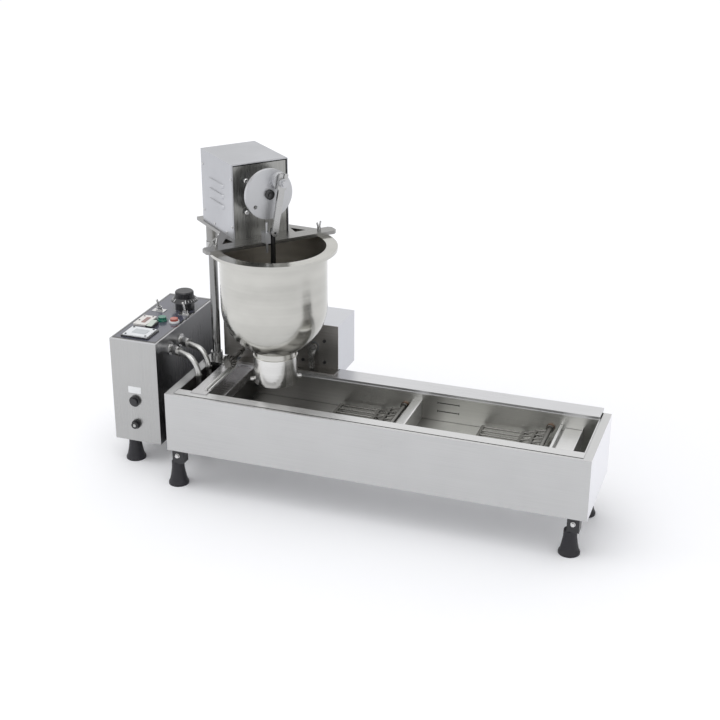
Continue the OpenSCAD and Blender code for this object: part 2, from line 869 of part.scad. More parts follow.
// Grid of bent rods with its shaft and arm, from the shaft's axis at a given X
module flipper(x) {
    rod_front = pan_front + sheet + bush_flange + 8;
    rod_rear = pan_rear - sheet - bush_flange - 8;
    pitch = (rod_rear - rod_front) / (rod_count - 1);
    slope_l = norm([flip_slope, flip_drop]);
    slope_a = atan2(flip_drop, flip_slope);
    bar_t = rod_d + 1;
    bar = 6;
    pin = [x - arm_r * cos(arm_rest), flip_z + arm_r * sin(arm_rest)];
    y_bar([x, flip_z], shaft_d, pan_front + sheet + 1.2, arm_y + arm_t - 1);
    y_bar([x, flip_z], shaft_d + 6, rod_front - 7, rod_front - 3.5);
    y_bar([x, flip_z], shaft_d + 6, rod_rear + 3.5, rod_rear + 7);
    translate([x, 0, flip_z]) {
        for (i = [0 : rod_count - 1])
            translate([0, rod_front + i * pitch, 0]) {
                rotate([0, -90 - slope_a, 0]) cylinder(d = rod_d, h = slope_l, $fn = 12);
                translate([-flip_slope, 0, -flip_drop])
                    rotate([0, -90, 0])
                        cylinder(d = rod_d, h = flip_reach - flip_slope - 2, $fn = 12);
            }
        // Cross bars that tie the rods
        for (at = [flip_slope, flip_reach - bar / 2])
            block([-at - bar / 2, rod_front - 3, -flip_drop - bar_t / 2],
                  [-at + bar / 2, rod_rear + 3, -flip_drop + bar_t / 2]);
        rotate([0, -slope_a, 0])
            block([-slope_l / 2 - bar / 2, rod_front - 3, -bar_t / 2],
                  [-slope_l / 2 + bar / 2, rod_rear + 3, bar_t / 2]);
    }
    // Arm and pin in the linkage bay
    upright(arm_y, arm_y + arm_t) strap([x, flip_z], pin, shaft_d + 4);
    y_bar(pin, arm_pin_d, arm_y + 1, link_y + link_t + pin_head_t - 1);
    y_bar(pin, arm_pin_d + 4, link_y + link_t + clear, link_y + link_t + pin_head_t);
}

module flipper_1() {
    color("Silver") in_frame() flipper(flip_x);
}

module flipper_2() {
    color("Silver") in_frame() flipper(flip_x + flip_pitch);
}

module coupling_bar() {
    from = [flip_x - arm_r * cos(arm_rest), flip_z + arm_r * sin(arm_rest)];
    to = from + [flip_pitch, 0];
    color("DarkGray") in_frame()
        upright(link_y, link_y + link_t)
            difference() {
                strap(from, to, link_h);
                translate(from) circle(d = arm_pin_d + 2 * run_gap);
                translate(to) circle(d = arm_pin_d + 2 * run_gap);
            }
}

// Control box

// Moves a shape to a place on the control box's top
module on_panel(at) {
    translate([control_left + at[0], control_y + at[1], control_top]) children();
}

module control_box() {
    color("Silver") in_frame()
        difference() {
            block([control_left, control_y, control_z],
                  [control_right, control_rear - sheet, control_top - sheet]);
            block([control_left + sheet, control_y + sheet, control_z + sheet],
                  [control_right - sheet, control_rear, control_top]);
            for (i = [0, 1])
                x_bar([gland_front + i * gland_pitch, gland_z], gland_d - 2,
                      control_right - sheet - cut, control_right + cut);
            y_bar([front_x, reset_z], reset_d + 4, control_y - cut, control_y + sheet + cut);
            y_bar([front_x, fuse_z], 15, control_y - cut, control_y + sheet + cut);
        }
}

module control_panel() {
    color("#4a4756") in_frame()
        difference() {
            block([control_left, control_y, control_top - sheet],
                  [control_right, control_rear, control_top]);
            on_panel(controller_at - (controller_size - [8, 8]) / 2)
                translate([0, 0, -5]) cube([controller_size[0] - 8, controller_size[1] - 8, 10]);
            on_panel(timer_at - (timer_size - [8, 8]) / 2)
                translate([0, 0, -5]) cube([timer_size[0] - 8, timer_size[1] - 8, 10]);
            on_panel(rocker_at - (rocker_size - [3, 3]) / 2)
                translate([0, 0, -5]) cube([rocker_size[0] - 3, rocker_size[1] - 3, 10]);
            for (at = button_at)
                on_panel(at) translate([0, 0, -5]) cylinder(d = button_d + 3, h = 10);
            for (at = toggle_at)
                on_panel(at) translate([0, 0, -5]) cylinder(d = 12.2, h = 10);
            on_panel(dial_at) translate([0, 0, -5]) cylinder(d = dial_d - 12, h = 10);
        }
}

module control_back() {
    color("Silver") in_frame()
        difference() {
            block([control_left, control_rear - sheet, control_z],
                  [control_right, control_rear, control_top - sheet]);
            y_bar([control_left + control_w / 2, control_z + 40], 17,
                  control_rear - sheet - cut, control_rear + cut);
        }
}

module power_gland() {
    at = [control_left + control_w / 2, control_z + 40];
    color("#202022") in_frame()
        difference() {
            union() {
                y_bar(at, 16, control_rear - sheet - 9, control_rear - cut);
                y_bar(at, 25, control_rear - sheet - 6, control_rear - sheet, 6);
            }
            y_bar(at, 9, control_rear - 20, control_rear + cut);
        }
}

module temperature_controller() {
    body = controller_size - [9, 9];
    color("WhiteSmoke") in_frame()
        on_panel(controller_at) {
            translate(-controller_size / 2)
                linear_extrude(face_t / 2) round_square(controller_size, 3);
            translate([0.5, -1, 1] - [controller_face[0], controller_face[1], 0] / 2)
                linear_extrude(face_t - 1) round_square(controller_face, 2);
            translate([-body[0] / 2, -body[1] / 2, -controller_l])
                cube([body[0], body[1], controller_l + 1]);
        }
}

module timer_module() {
    body = timer_size - [9, 9];
    color("Gainsboro") in_frame()
        on_panel(timer_at) {
            translate(-timer_size / 2) linear_extrude(face_t) round_square(timer_size, 2);
            translate([-body[0] / 2, -body[1] / 2, -timer_l])
                cube([body[0], body[1], timer_l + 1]);
        }
}

module button_bezels() {
    color("LightGray") in_frame()
        for (at = button_at)
            on_panel(at)
                difference() {
                    union() {
                        cylinder(d = bezel_d, h = bezel_h);
                        translate([0, 0, -28]) cylinder(d = button_d + 2.8, h = 29);
                    }
                    translate([0, 0, -22]) cylinder(d = button_d + 2 * clear, h = 22 + bezel_h + cut);
                }
}

// Domed cap of a push button on the control panel
module push_cap(at) {
    on_panel(at) {
        translate([0, 0, -22 + button_travel + clear])
            cylinder(d = button_d, h = 22 + bezel_h + 2 - clear);
    }
}

module green_button() {
    color("SeaGreen") in_frame() push_cap(button_at[0]);
}

module red_button() {
    color("OrangeRed") in_frame() push_cap(button_at[1]);
}

module rocker_frame() {
    body = rocker_size - [3.4, 3.4];
    hole = rocker_size - [5, 5];
    pocket = rocker_size - [2.6, 2.6];
    color("#202022") in_frame()
        on_panel(rocker_at)
            difference() {
                union() {
                    translate(-rocker_size / 2) linear_extrude(6.5) round_square(rocker_size, 1.5);
                    translate([-body[0] / 2, -body[1] / 2, -24]) cube([body[0], body[1], 24.5]);
                }
                translate([-hole[0] / 2, -hole[1] / 2, -12]) cube([hole[0], hole[1], 20]);
                translate([-pocket[0] / 2, -pocket[1] / 2, 1]) cube([pocket[0], pocket[1], 10]);
            }
}

module rocker() {
    cap = rocker_size - [3.4, 5.5];
    stem = [rocker_size[0] - 6.2, 14];
    color("Honeydew") in_frame()
        on_panel(rocker_at)
            translate([0, 0, -1])
                rotate([rocker_tilt, 0, 0]) {
                    translate([-cap[0] / 2, -cap[1] / 2, 4.2]) cube([cap[0], cap[1], 5.3]);
                    translate([-stem[0] / 2, -stem[1] / 2, -2]) cube([stem[0], stem[1], 6.7]);
                    rotate([0, 90, 0]) cylinder(d = 5, h = rocker_size[0] - 5.2, center = true);
                }
}

module toggle_bushes() {
    color("LightGray") in_frame()
        for (at = toggle_at)
            on_panel(at)
                difference() {
                    union() {
                        translate(-toggle_plate / 2) linear_extrude(1) square(toggle_plate);
                        cylinder(d = 17, h = 3.5, $fn = 6);
                        translate([0, 0, -8]) cylinder(d = 12, h = 8 + toggle_base);
                        translate([0, 0, -30]) translate([-7, -6.5, 0]) cube([14, 13, 23]);
                    }
                    translate([0, 0, -8]) cylinder(d = 8.4, h = 20 + toggle_base);
                }
}

// Toggle lever about the ball in its bush
module toggle_lever(at) {
    on_panel(at)
        translate([0, 0, toggle_base - 5])
            rotate([0, -toggle_lean, 0]) {
                sphere(d = 7);
                rotate([90, 0, 0]) cylinder(d = 3, h = 7.8, center = true);
                cylinder(d1 = 3.6, d2 = 5.4, h = 21);
                translate([0, 0, 21]) sphere(d = 5.4);
            }
}

module toggle_1() {
    color("LightGray") in_frame() toggle_lever(toggle_at[0]);
}

module toggle_2() {
    color("LightGray") in_frame() toggle_lever(toggle_at[1]);
}

module regulator() {
    color("#202022") in_frame()
        on_panel(dial_at)
            difference() {
                union() {
                    cylinder(d = dial_neck_d, h = neck_h);
                    translate([0, 0, -3]) cylinder(d = dial_d - 12.4, h = 4);
                    translate([0, 0, -regulator_l])
                        cylinder(d = dial_d + 8, h = regulator_l - sheet);
                }
                translate([0, 0, -20]) cylinder(d = 8 + 2 * run_gap, h = 40);
            }
}

module dial_knob() {
    flutes = 24;
    color("#202022") in_frame()
        on_panel(dial_at) {
            translate([0, 0, neck_h + clear]) cylinder(d1 = skirt_d, d2 = dial_d + 3, h = 8);
            translate([0, 0, neck_h + 4])
                difference() {
                    union() {
                        cylinder(d = dial_d, h = grip_top - neck_h - 6.5);
                        translate([0, 0, grip_top - neck_h - 6.5])
                            cylinder(d1 = dial_d, d2 = dial_d - 5, h = 2.5);
                    }
                    for (i = [0 : flutes - 1])
                        rotate([0, 0, i * 360 / flutes])
                            translate([dial_d / 2 + 0.6, 0, 6]) cylinder(d = 3, h = 25);
                }
            translate([0, 0, -18]) cylinder(d = 8, h = 42);
        }
}

module reset_housing() {
    color("#202022") in_frame()
        difference() {
            union() {
                y_bar([front_x, reset_z], reset_d + 8, control_y - 5, control_y);
                y_bar([front_x, reset_z], reset_d + 3.8, control_y - 1, control_y + 26);
            }
            y_bar([front_x, reset_z], reset_d + 2 * clear, control_y - 5 - cut, control_y + 18);
        }
}

module reset_button() {
    color("#2b2b2e") in_frame()
        y_bar([front_x, reset_z], reset_d, control_y - 9, control_y + 18 - button_travel);
}

module fuse_holder() {
    at = [front_x, fuse_z];
    color("#202022") in_frame()
        difference() {
            union() {
                y_bar(at, 20, control_y - 4, control_y);
                y_bar(at, 14.8, control_y - 1, control_y + 34);
                y_bar(at, 15, control_y - 11, control_y - 3);
            }
            block([front_x - 6, control_y - 11 - cut, fuse_z - 1],
                  [front_x + 6, control_y - 9, fuse_z + 1]);
        }
}

// Head

// Outline of the head plate: the bar, its two arms and the seat under the housing
module head_outline() {
    half = motor_w / 2 + 4;
    bar_rear = bar_front + bar_w;
    arm_rear = motor_y + 58;
    seat_rear = motor_rear + 25;
    bevel = 6;
    bar_shift = 5;
    difference() {
        union() {
            translate([bar_shift, 0])
                polygon([[-bar_half, bar_front + bevel], [-bar_half + bevel, bar_front],
                         [bar_half - bevel, bar_front], [bar_half, bar_front + bevel],
                         [bar_half, bar_rear - bevel], [bar_half - bevel, bar_rear],
                         [-bar_half + bevel, bar_rear], [-bar_half, bar_rear - bevel]]);
            translate([-half, bar_front]) square([2 * half, seat_rear - bar_front]);
            for (side = [-1, 1])
                polygon([[side * (half - 1), bar_front + 4], [side * (bar_half - 24), bar_rear - 2],
                         [side * half, arm_rear], [side * (half - 1), arm_rear]]);
        }
        for (side = [-1, 1])
            polygon([[side * (half + 4), bar_rear + 2], [side * (bar_half - 50), bar_rear + 2],
                     [side * (half + 7), bar_rear + 31]]);
    }
}

module head_plate() {
    color("Silver") in_head()
        difference() {
            union() {
                translate([0, 0, rim_z]) linear_extrude(plate_t) head_outline();
                translate([column_local[0], column_local[1], rim_z - hub_drop])
                    cylinder(r = hub_r, h = hub_drop + 1);
            }
            translate([column_local[0], column_local[1], rim_z - hub_drop - cut])
                cylinder(d = column_d + 2 * run_gap, h = hub_drop + plate_t + 2 * cut);
            for (side = [-1, 1])
                translate([side * wing_x, bar_front + bar_w / 2, rim_z - cut])
                    cylinder(d = 6.4, h = plate_t + 2 * cut);
        }
}

module hopper() {
    wall_r = bowl_r - hopper_t;
    color("Gainsboro") in_head()
        difference() {
            union() {
                translate([0, 0, bowl_z]) cylinder(r = bowl_r, h = rim_z - bowl_z);
                translate([0, 0, bowl_z])
                    intersection() {
                        sphere(r = bowl_r, $fn = 96);
                        translate([0, 0, -bowl_r - 1]) cylinder(r = bowl_r + 1, h = bowl_r + 2);
                    }
                translate([0, 0, rim_z - hopper_t]) cylinder(d = rim_d, h = hopper_t);
                translate([0, 0, rim_z - 6])
                    difference() {
                        cylinder(d = rim_d, h = 6);
                        translate([0, 0, -cut]) cylinder(d = rim_d - 2 * hopper_t, h = 6 + cut);
                    }
                translate([0, 0, outlet_z]) cylinder(r = outlet_r, h = bowl_z - bowl_r - outlet_z + 12);
            }
            translate([0, 0, bowl_z]) cylinder(r = wall_r, h = rim_z - bowl_z + cut);
            translate([0, 0, bowl_z])
                intersection() {
                    sphere(r = wall_r, $fn = 96);
                    translate([0, 0, -bowl_r]) cylinder(r = bowl_r, h = bowl_r + 1);
                }
            translate([0, 0, outlet_z - cut])
                cylinder(r = outlet_r - hopper_t, h = bowl_z - outlet_z);
            for (side = [-1, 1])
                translate([side * wing_x, bar_front + bar_w / 2, rim_z - 8])
                    cylinder(d = 6.4, h = 10);
        }
}

// Places of the two screws in the forming cylinder, facing outwards
module at_nozzle_screws() {
    for (a = [-19, 161])
        rotate([0, 0, a]) translate([nozzle_r, 0, nozzle_z + 5]) rotate([0, 90, 0]) children();
}

module nozzle_cylinder() {
    color("Gainsboro") in_head()
        difference() {
            translate([0, 0, nozzle_z]) cylinder(r = nozzle_r, h = nozzle_h);
            translate([0, 0, nozzle_z - cut]) cylinder(r = nozzle_r - nozzle_t, h = nozzle_h + 2 * cut);
            at_nozzle_screws() translate([0, 0, -5]) cylinder(d = 4.2, h = 10);
        }
}

module nozzle_screws() {
    color("LightGray") in_head()
        at_nozzle_screws() {
            translate([0, 0, -nozzle_t]) cylinder(d = 4, h = nozzle_t + 4);
            translate([0, 0, 0.2]) cylinder(d = 8.5, h = 7, $fn = 20);
        }
}

module wing_screws() {
    color("DimGray") in_head()
        for (side = [-1, 1])
            translate([side * wing_x, bar_front + bar_w / 2, 0]) {
                translate([0, 0, rim_z - 8]) cylinder(d = 6, h = plate_t + 9);
                translate([0, 0, rim_z - 8]) cylinder(d = 11, h = 5.5, $fn = 6);
                translate([0, 0, head_z]) cylinder(d = 7.5, h = 8);
                for (lean = [-24, 24])
                    translate([0, 0, head_z + 3])
                        rotate([0, lean, 30])
                            translate([-1.7, -1, 0]) cube([3.4, 2, 17]);
            }
}

module plunger() {
    top = eye_z + 6;
    color("#3a3a3c") in_head()
        difference() {
            union() {
                translate([0, 0, piston_z]) cylinder(d = plunger_d, h = top - piston_z);
                translate([0, 0, piston_z]) cylinder(r = piston_r, h = 10);
                translate([0, 0, piston_z + 10]) cylinder(r1 = piston_r, r2 = plunger_d / 2 + 3, h = 16);
                translate([0, 0, piston_z - core_drop]) cylinder(d1 = 18, d2 = 26, h = core_drop);
            }
            y_bar([0, eye_z], 5, -plunger_d, plunger_d);
        }
}

module guide_block() {
    block_x = -plunger_d / 2 - 2;
    rod_low = rim_z - 12;
    rod_top = hub_z - crank_r - 20;
    color("LightGray") in_head() {
        block([block_x - 11, -plunger_d / 2 + 0.5, head_z], [block_x, bar_front + 8, head_z + 22]);
        translate([block_x - 5.5, 1, rod_low]) cylinder(d = 4.5, h = rod_top - rod_low);
    }
}

module motor_housing() {
    half = motor_w / 2;
    top = head_z + motor_h;
    face = motor_y + 3;
    louver_l = 0.45 * motor_d;
    color("Gainsboro") in_head() {
        difference() {
            translate([-half, motor_y, head_z]) cube([motor_w, motor_d, motor_h]);
            translate([-half + sheet, motor_y - cut, head_z - cut])
                cube([motor_w - 2 * sheet, motor_d - sheet + cut, motor_h - sheet + cut]);
            // Louvers in both sides
            for (i = [0 : 2])
                translate([-half - cut, motor_y + 0.52 * motor_d - louver_l / 2,
                           head_z + motor_h * (0.36 + 0.14 * i) - 1.5])
                    cube([motor_w + 2 * cut, louver_l, 3]);
        }
        // Front plate set back between the sides
        difference() {
            translate([-half + sheet, face, head_z])
                cube([motor_w - 2 * sheet, sheet, motor_h - sheet]);
            y_bar([0, hub_z], 44, face - cut, face + sheet + cut);
            for (x = [-bolt_x, bolt_x], z = bolt_z)
                y_bar([x, hub_z + z], bolt_d + 0.4, face - cut, face + sheet + cut);
        }
    }
}

module head_gear_motor() {
    face = motor_y + 3 + sheet;
    gearbox = 84;
    gearbox_d = 56;
    color("DimGray") in_head() {
        difference() {
            union() {
                translate([-gearbox / 2, face, hub_z - 50]) cube([gearbox, gearbox_d, 96]);
                y_bar([0, hub_z - 6], 74, face + gearbox_d - 1, motor_rear - sheet - 10);
                y_bar([0, hub_z], 40, motor_y - 2, face + 1);
            }
            y_bar([0, hub_z], 16 + 2 * run_gap, motor_y - 3, face + 36);
        }
        // Foot that stands on the head plate, and bolts through the front plate
        translate([-gearbox / 2, face, head_z]) cube([gearbox, gearbox_d, hub_z - 50 - head_z + 1]);
        for (x = [-bolt_x, bolt_x], z = bolt_z)
            y_bar([x, hub_z + z], bolt_d, face - sheet - 5, face + 1);
    }
}

module crank() {
    color("LightGray") in_head() {
        difference() {
            y_bar([0, hub_z], disc_d, disc_y, disc_y + disc_t);
            for (x = [-30])
                y_bar([x, hub_z - 22], 8, disc_y - cut, disc_y + disc_t + cut);
        }
        y_bar([0, hub_z], 34, disc_y + disc_t - 1, motor_y - 2 - clear);
        y_bar([0, hub_z], 16, disc_y, motor_y + 3 + sheet + 35);
        y_bar([0, hub_z], 17, disc_y - 5, disc_y + 1, 6);
        y_bar([pin_x, pin_z], 34, -plunger_d / 2 + 1.5, disc_y + 1);
        y_bar([pin_x, pin_z], crank_pin_d, rod_y - 12, disc_y);
        y_bar([pin_x, pin_z], crank_pin_d + 6, rod_y - 6, rod_y - clear);
    }
}

// Connecting rod that hangs from the crank pin in front of the plunger
module con_rod() {
    lean = atan2(pin_x, pin_z - eye_z);
    color("Silver") in_head()
        difference() {
            union() {
                y_bar([0, eye_z], 15, rod_y + 0.8, rod_y + rod_t - 0.8);
                // Flat bar with a split clamp at its top
                translate([0, 0, eye_z])
                    rotate([0, lean, 0])
                        upright(rod_y, rod_y + rod_t)
                            polygon([[-6.5, 0], [6.5, 0], [6.5, rod_l - 14], [9.5, rod_l - 14],
                                     [9.5, rod_l + 17], [1, rod_l + 17], [1, rod_l], [-1, rod_l],
                                     [-1, rod_l + 17], [-9.5, rod_l + 17], [-9.5, rod_l - 14],
                                     [-6.5, rod_l - 14]]);
            }
            y_bar([pin_x, pin_z], crank_pin_d + 2 * run_gap, rod_y - cut, rod_y + rod_t + cut);
            y_bar([0, eye_z], 5, rod_y - cut, rod_y + rod_t + cut);
        }
}

tank_shell();
oil_pan();
loose_floor_plate();
rear_cover();
bridge_plate();
bridge_rail();
divider();
exit_chute();
heater_element();
heater_glands();
shaft_bushes();
foot_brackets();
foot_bolts();
tank_feet();
control_feet();
joining_channel();
column();
column_base();
column_collar();
rear_plate();
rear_box_cover();
rear_gear_motor();
rear_screws();
trip_lever();
drive_crank();
drive_link();
timing_gear();
flipper_1();
flipper_2();
coupling_bar();
control_box();
control_panel();
control_back();
power_gland();
temperature_controller();
timer_module();
button_bezels();
green_button();
red_button();
rocker_frame();
rocker();
toggle_bushes();
toggle_1();
toggle_2();
regulator();
dial_knob();
reset_housing();
reset_button();
fuse_holder();
head_plate();
hopper();
nozzle_cylinder();
nozzle_screws();
wing_screws();
plunger();
guide_block();
motor_housing();
head_gear_motor();
crank();
con_rod();
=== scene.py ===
"""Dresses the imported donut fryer: camera, light, materials and the small pieces on it."""
import math

import bmesh
import bpy
from mathutils import Matrix, Vector


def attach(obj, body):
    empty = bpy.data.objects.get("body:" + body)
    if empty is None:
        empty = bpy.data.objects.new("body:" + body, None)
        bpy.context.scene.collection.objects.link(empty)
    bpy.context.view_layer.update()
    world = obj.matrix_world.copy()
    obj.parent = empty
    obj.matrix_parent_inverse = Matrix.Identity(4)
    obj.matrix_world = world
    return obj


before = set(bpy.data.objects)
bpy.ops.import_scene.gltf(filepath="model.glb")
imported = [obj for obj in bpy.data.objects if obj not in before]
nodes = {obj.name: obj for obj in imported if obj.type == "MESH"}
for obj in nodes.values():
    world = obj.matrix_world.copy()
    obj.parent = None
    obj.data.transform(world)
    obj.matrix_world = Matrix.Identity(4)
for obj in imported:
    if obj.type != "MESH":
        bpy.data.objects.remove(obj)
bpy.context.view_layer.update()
scene = bpy.context.scene

X_AXIS = (1, 0, 0)
Y_AXIS = (0, 1, 0)
Z_AXIS = (0, 0, 1)
TO_FRONT = (0, -1, 0)

# Places shared with part.scad, in millimetres from the tank's front left corner at floor level.
# MID is the origin of the shared frame.
MID = Vector((353.0, 171.5, 0.0))
HOPPER = Vector((200.0, 108.0, 0.0))
PANEL = Vector((-164.0, 80.0, 283.0))
PANEL_SIZE = (107.0, 282.0)
PAN_REAR_FACE = 178.5
DIVIDER_FACE = 491.0

# Places on the control panel, from its front left corner
CONTROLLER = (49.5, 41.8)
TIMER = (29.0, 104.9)
GREEN_BUTTON = (60.03, 125.14)
RED_BUTTON = (88.49, 125.14)
DIAL = (72.97, 209.44)

# The head: its turn, the heights of its plate and its crank's hub above the floor, and the
# motor housing's half width, front plate and height
HEAD_TURN = math.radians(49)
HEAD_Z = 526.0
HUB_Z = 620.0
MOTOR_HALF = 60.0
MOTOR_FACE = 53.0
MOTOR_H = 150.0


def at(x, y, z):
    """A place in the tank's corner frame, in the shared frame in metres."""
    return (Vector((x, y, z)) - MID) / 1000


def at_panel(x, y, z):
    """A place from the control panel's front left corner."""
    return at(PANEL.x + x, PANEL.y + y, PANEL.z + z)


HEAD = Matrix.Translation(at(HOPPER.x, HOPPER.y, 0)) @ Matrix.Rotation(HEAD_TURN, 4, "Z")
HEAD_X = Vector((math.cos(HEAD_TURN), math.sin(HEAD_TURN), 0))
HEAD_Y = Vector((-math.sin(HEAD_TURN), math.cos(HEAD_TURN), 0))


def at_head(x, y, z):
    """A place in the head's own frame: x to its right, y to its rear."""
    return HEAD @ (Vector((x, y, z)) / 1000)


def placed(origin, x_axis, z_axis):
    """A local frame in millimetres, at a place in metres."""
    z_axis = Vector(z_axis).normalized()
    x_axis = Vector(x_axis)
    x_axis = (x_axis - z_axis * x_axis.dot(z_axis)).normalized()
    y_axis = z_axis.cross(x_axis)
    turn = Matrix((x_axis, y_axis, z_axis)).transposed().to_4x4()
    return Matrix.Translation(origin) @ turn @ Matrix.Scale(0.001, 4)


# Steps that materials are made of

# Most of the noise falls in this span
NOISE_LOW = 0.3
NOISE_HIGH = 0.7
NOISE_ROUGHNESS = 0.55
COARSE_DETAIL = 2.0
FINE_DETAIL = 3.0

# Values of the shader's metallic input
METAL = 1.0
NO_METAL = 0.0

# A face looks along an axis where their dot product is above this
FACING_LIMIT = 0.9


def new_material(name, color, metallic, roughness):
    """A material with one Principled shader; returns it with its tree and shader."""
    material = bpy.data.materials.new(name)
    material.use_nodes = True
    tree = material.node_tree
    shader = tree.nodes["Principled BSDF"]
    shader.inputs["Base Color"].default_value = (*color, 1)
    shader.inputs["Metallic"].default_value = metallic
    shader.inputs["Roughness"].default_value = roughness
    return material, tree, shader


def even(scale):
    """The same scale along each axis."""
    return (scale, scale, scale)


def object_space(tree, scale, turn):
    """Object coordinates, turned about Z and scaled."""
    coords = tree.nodes.new("ShaderNodeTexCoord")
    rotate = tree.nodes.new("ShaderNodeMapping")
    rotate.inputs["Rotation"].default_value = (0, 0, turn)
    tree.links.new(coords.outputs["Object"], rotate.inputs["Vector"])
    stretch = tree.nodes.new("ShaderNodeMapping")
    stretch.inputs["Scale"].default_value = scale
    tree.links.new(rotate.outputs["Vector"], stretch.inputs["Vector"])
    return stretch.outputs["Vector"]


def noise(tree, scale, detail=FINE_DETAIL, turn=0.0):
    """Noise in object space, with a scale for each axis."""
    texture = tree.nodes.new("ShaderNodeTexNoise")
    texture.inputs["Scale"].default_value = 1.0
    texture.inputs["Detail"].default_value = detail
    texture.inputs["Roughness"].default_value = NOISE_ROUGHNESS
    tree.links.new(object_space(tree, scale, turn), texture.inputs["Vector"])
    return texture.outputs["Fac"]


def remap(tree, value, low, high, from_low=NOISE_LOW, from_high=NOISE_HIGH):
    """A value moved from one span to another."""
    node = tree.nodes.new("ShaderNodeMapRange")
    node.inputs["From Min"].default_value = from_low
    node.inputs["From Max"].default_value = from_high
    node.inputs["To Min"].default_value = low
    node.inputs["To Max"].default_value = high
    tree.links.new(value, node.inputs["Value"])
    return node.outputs["Result"]


def calc(tree, operation, first, second=0.0):
    """One arithmetic step; each value is a socket or a number."""
    node = tree.nodes.new("ShaderNodeMath")
    node.operation = operation
    for socket, value in zip(node.inputs, (first, second)):
        if isinstance(value, (int, float)):
            socket.default_value = value
        else:
            tree.links.new(value, socket)
    return node.outputs[0]


def mix_color(tree, factor, dark, light):
    """A colour between two others, each a triple or a socket."""
    node = tree.nodes.new("ShaderNodeMix")
    node.data_type = "RGBA"
    tree.links.new(factor, node.inputs["Factor"])
    for socket, value in ((node.inputs[6], dark), (node.inputs[7], light)):
        if isinstance(value, tuple):
            socket.default_value = (*value, 1)
        else:
            tree.links.new(value, socket)
    return node.outputs[2]


def scaled(color, factor):
    """A colour made lighter or darker."""
    return tuple(min(1.0, channel * factor) for channel in color)


def from_place(tree, origin):
    """The way from an origin to a point, in metres."""
    coords = tree.nodes.new("ShaderNodeTexCoord")
    node = tree.nodes.new("ShaderNodeVectorMath")
    node.operation = "SUBTRACT"
    tree.links.new(coords.outputs["Object"], node.inputs[0])
    node.inputs[1].default_value = origin
    return node.outputs["Vector"]


def surface_normal(tree):
    """The direction that the surface faces, in object space."""
    return tree.nodes.new("ShaderNodeTexCoord").outputs["Normal"]


def dot(tree, first, second):
    """Dot product of a socket with another socket or with a constant vector."""
    node = tree.nodes.new("ShaderNodeVectorMath")
    node.operation = "DOT_PRODUCT"
    tree.links.new(first, node.inputs[0])
    if isinstance(second, bpy.types.NodeSocket):
        tree.links.new(second, node.inputs[1])
    else:
        node.inputs[1].default_value = second
    return node.outputs["Value"]


def along(tree, origin, direction):
    """Distance of a point from an origin along a direction, in metres."""
    return dot(tree, from_place(tree, origin), direction)


def facing(tree, axis):
    """One on the faces that look along an axis of the object, zero on the others."""
    return calc(tree, "GREATER_THAN", dot(tree, surface_normal(tree), axis), FACING_LIMIT)


def paint(tree, shader, tone, rough):
    """Links a colour and a roughness to the shader."""
    tree.links.new(tone, shader.inputs["Base Color"])
    tree.links.new(rough, shader.inputs["Roughness"])


def clear_coat(shader, weight, roughness):
    """Sets the shader's clear coat."""
    shader.inputs["Coat Weight"].default_value = weight
    shader.inputs["Coat Roughness"].default_value = roughness


def bump(tree, shader, height, strength, distance):
    """A bump from a height."""
    node = tree.nodes.new("ShaderNodeBump")
    node.inputs["Strength"].default_value = strength
    node.inputs["Distance"].default_value = distance
    tree.links.new(height, node.inputs["Height"])
    tree.links.new(node.outputs["Normal"], shader.inputs["Normal"])


# Steel

# Scales of the grain: rolled along the length, brushed upwards, and drawn as a tube
ALONG_X = (6, 700, 700)
ALONG_Z = (700, 700, 6)
DRAWN = (900, 900, 5)
SHEET_CLOUDS = even(9)
SPUN_CLOUDS = (14, 14, 20)
RING_DRIFT = 1.5

# Distances of the bumps in metres
SHEET_BUMP = 0.0002
SPUN_BUMP = 0.004

# Share of the grain in a sheet's tone, and how far the grain moves its roughness
GRAIN_SHARE = 0.6
GRAIN_ROUGHNESS = 0.04

# Heights in millimetres: the middle of the hopper, and just under the top of the pan's flange
HOPPER_MIDDLE = 400.0
PAN_FLANGE = 213.2

# The pan's painted shade fades out from the tank's left end, and its painted shadow from the
# divider, in metres
LEFT_SHADE_FADE = (0.24, 0.47)
DIVIDER_SHADOW_FADE = (0.008, 0.05)
DIVIDER_SHADOW_SHARE = 0.85
PAN_ROUGHNESS = 0.34
PAN_SMUDGE = 0.06
SHEET_DEPTH = 0.25

# The spun wall is its inner side where the way from its middle runs against the normal
INNER_LIMIT = -0.03
INNER_ROUGHER = 0.16

# The housing's front plate: slack of its plane in metres, widths of its joints in millimetres
FRONT_SLACK = 0.0004
SIDE_JOINT = 3.3
TOP_JOINT = 4.5
FRONT_SMOOTHER = -0.17


def sheet_noise(tree, grain, turn=0.0):
    """Fine grain of a sheet, its cloudy smudges, and both together."""
    fine = noise(tree, grain, turn=turn)
    clouds = noise(tree, SHEET_CLOUDS, turn=turn)
    both = calc(tree, "ADD", remap(tree, fine, 0, GRAIN_SHARE),
                remap(tree, clouds, 0, 1 - GRAIN_SHARE))
    return fine, clouds, both


def finish_sheet(tree, shader, tone, fine, clouds, roughness, smudge, depth):
    """Gives a sheet its colour, a roughness with smudges, and the bump of its grain."""
    grain = remap(tree, fine, roughness - GRAIN_ROUGHNESS, roughness + GRAIN_ROUGHNESS)
    rough = calc(tree, "ADD", grain, remap(tree, clouds, -smudge / 2, smudge / 2))
    paint(tree, shader, tone, rough)
    bump(tree, shader, fine, depth, SHEET_BUMP)


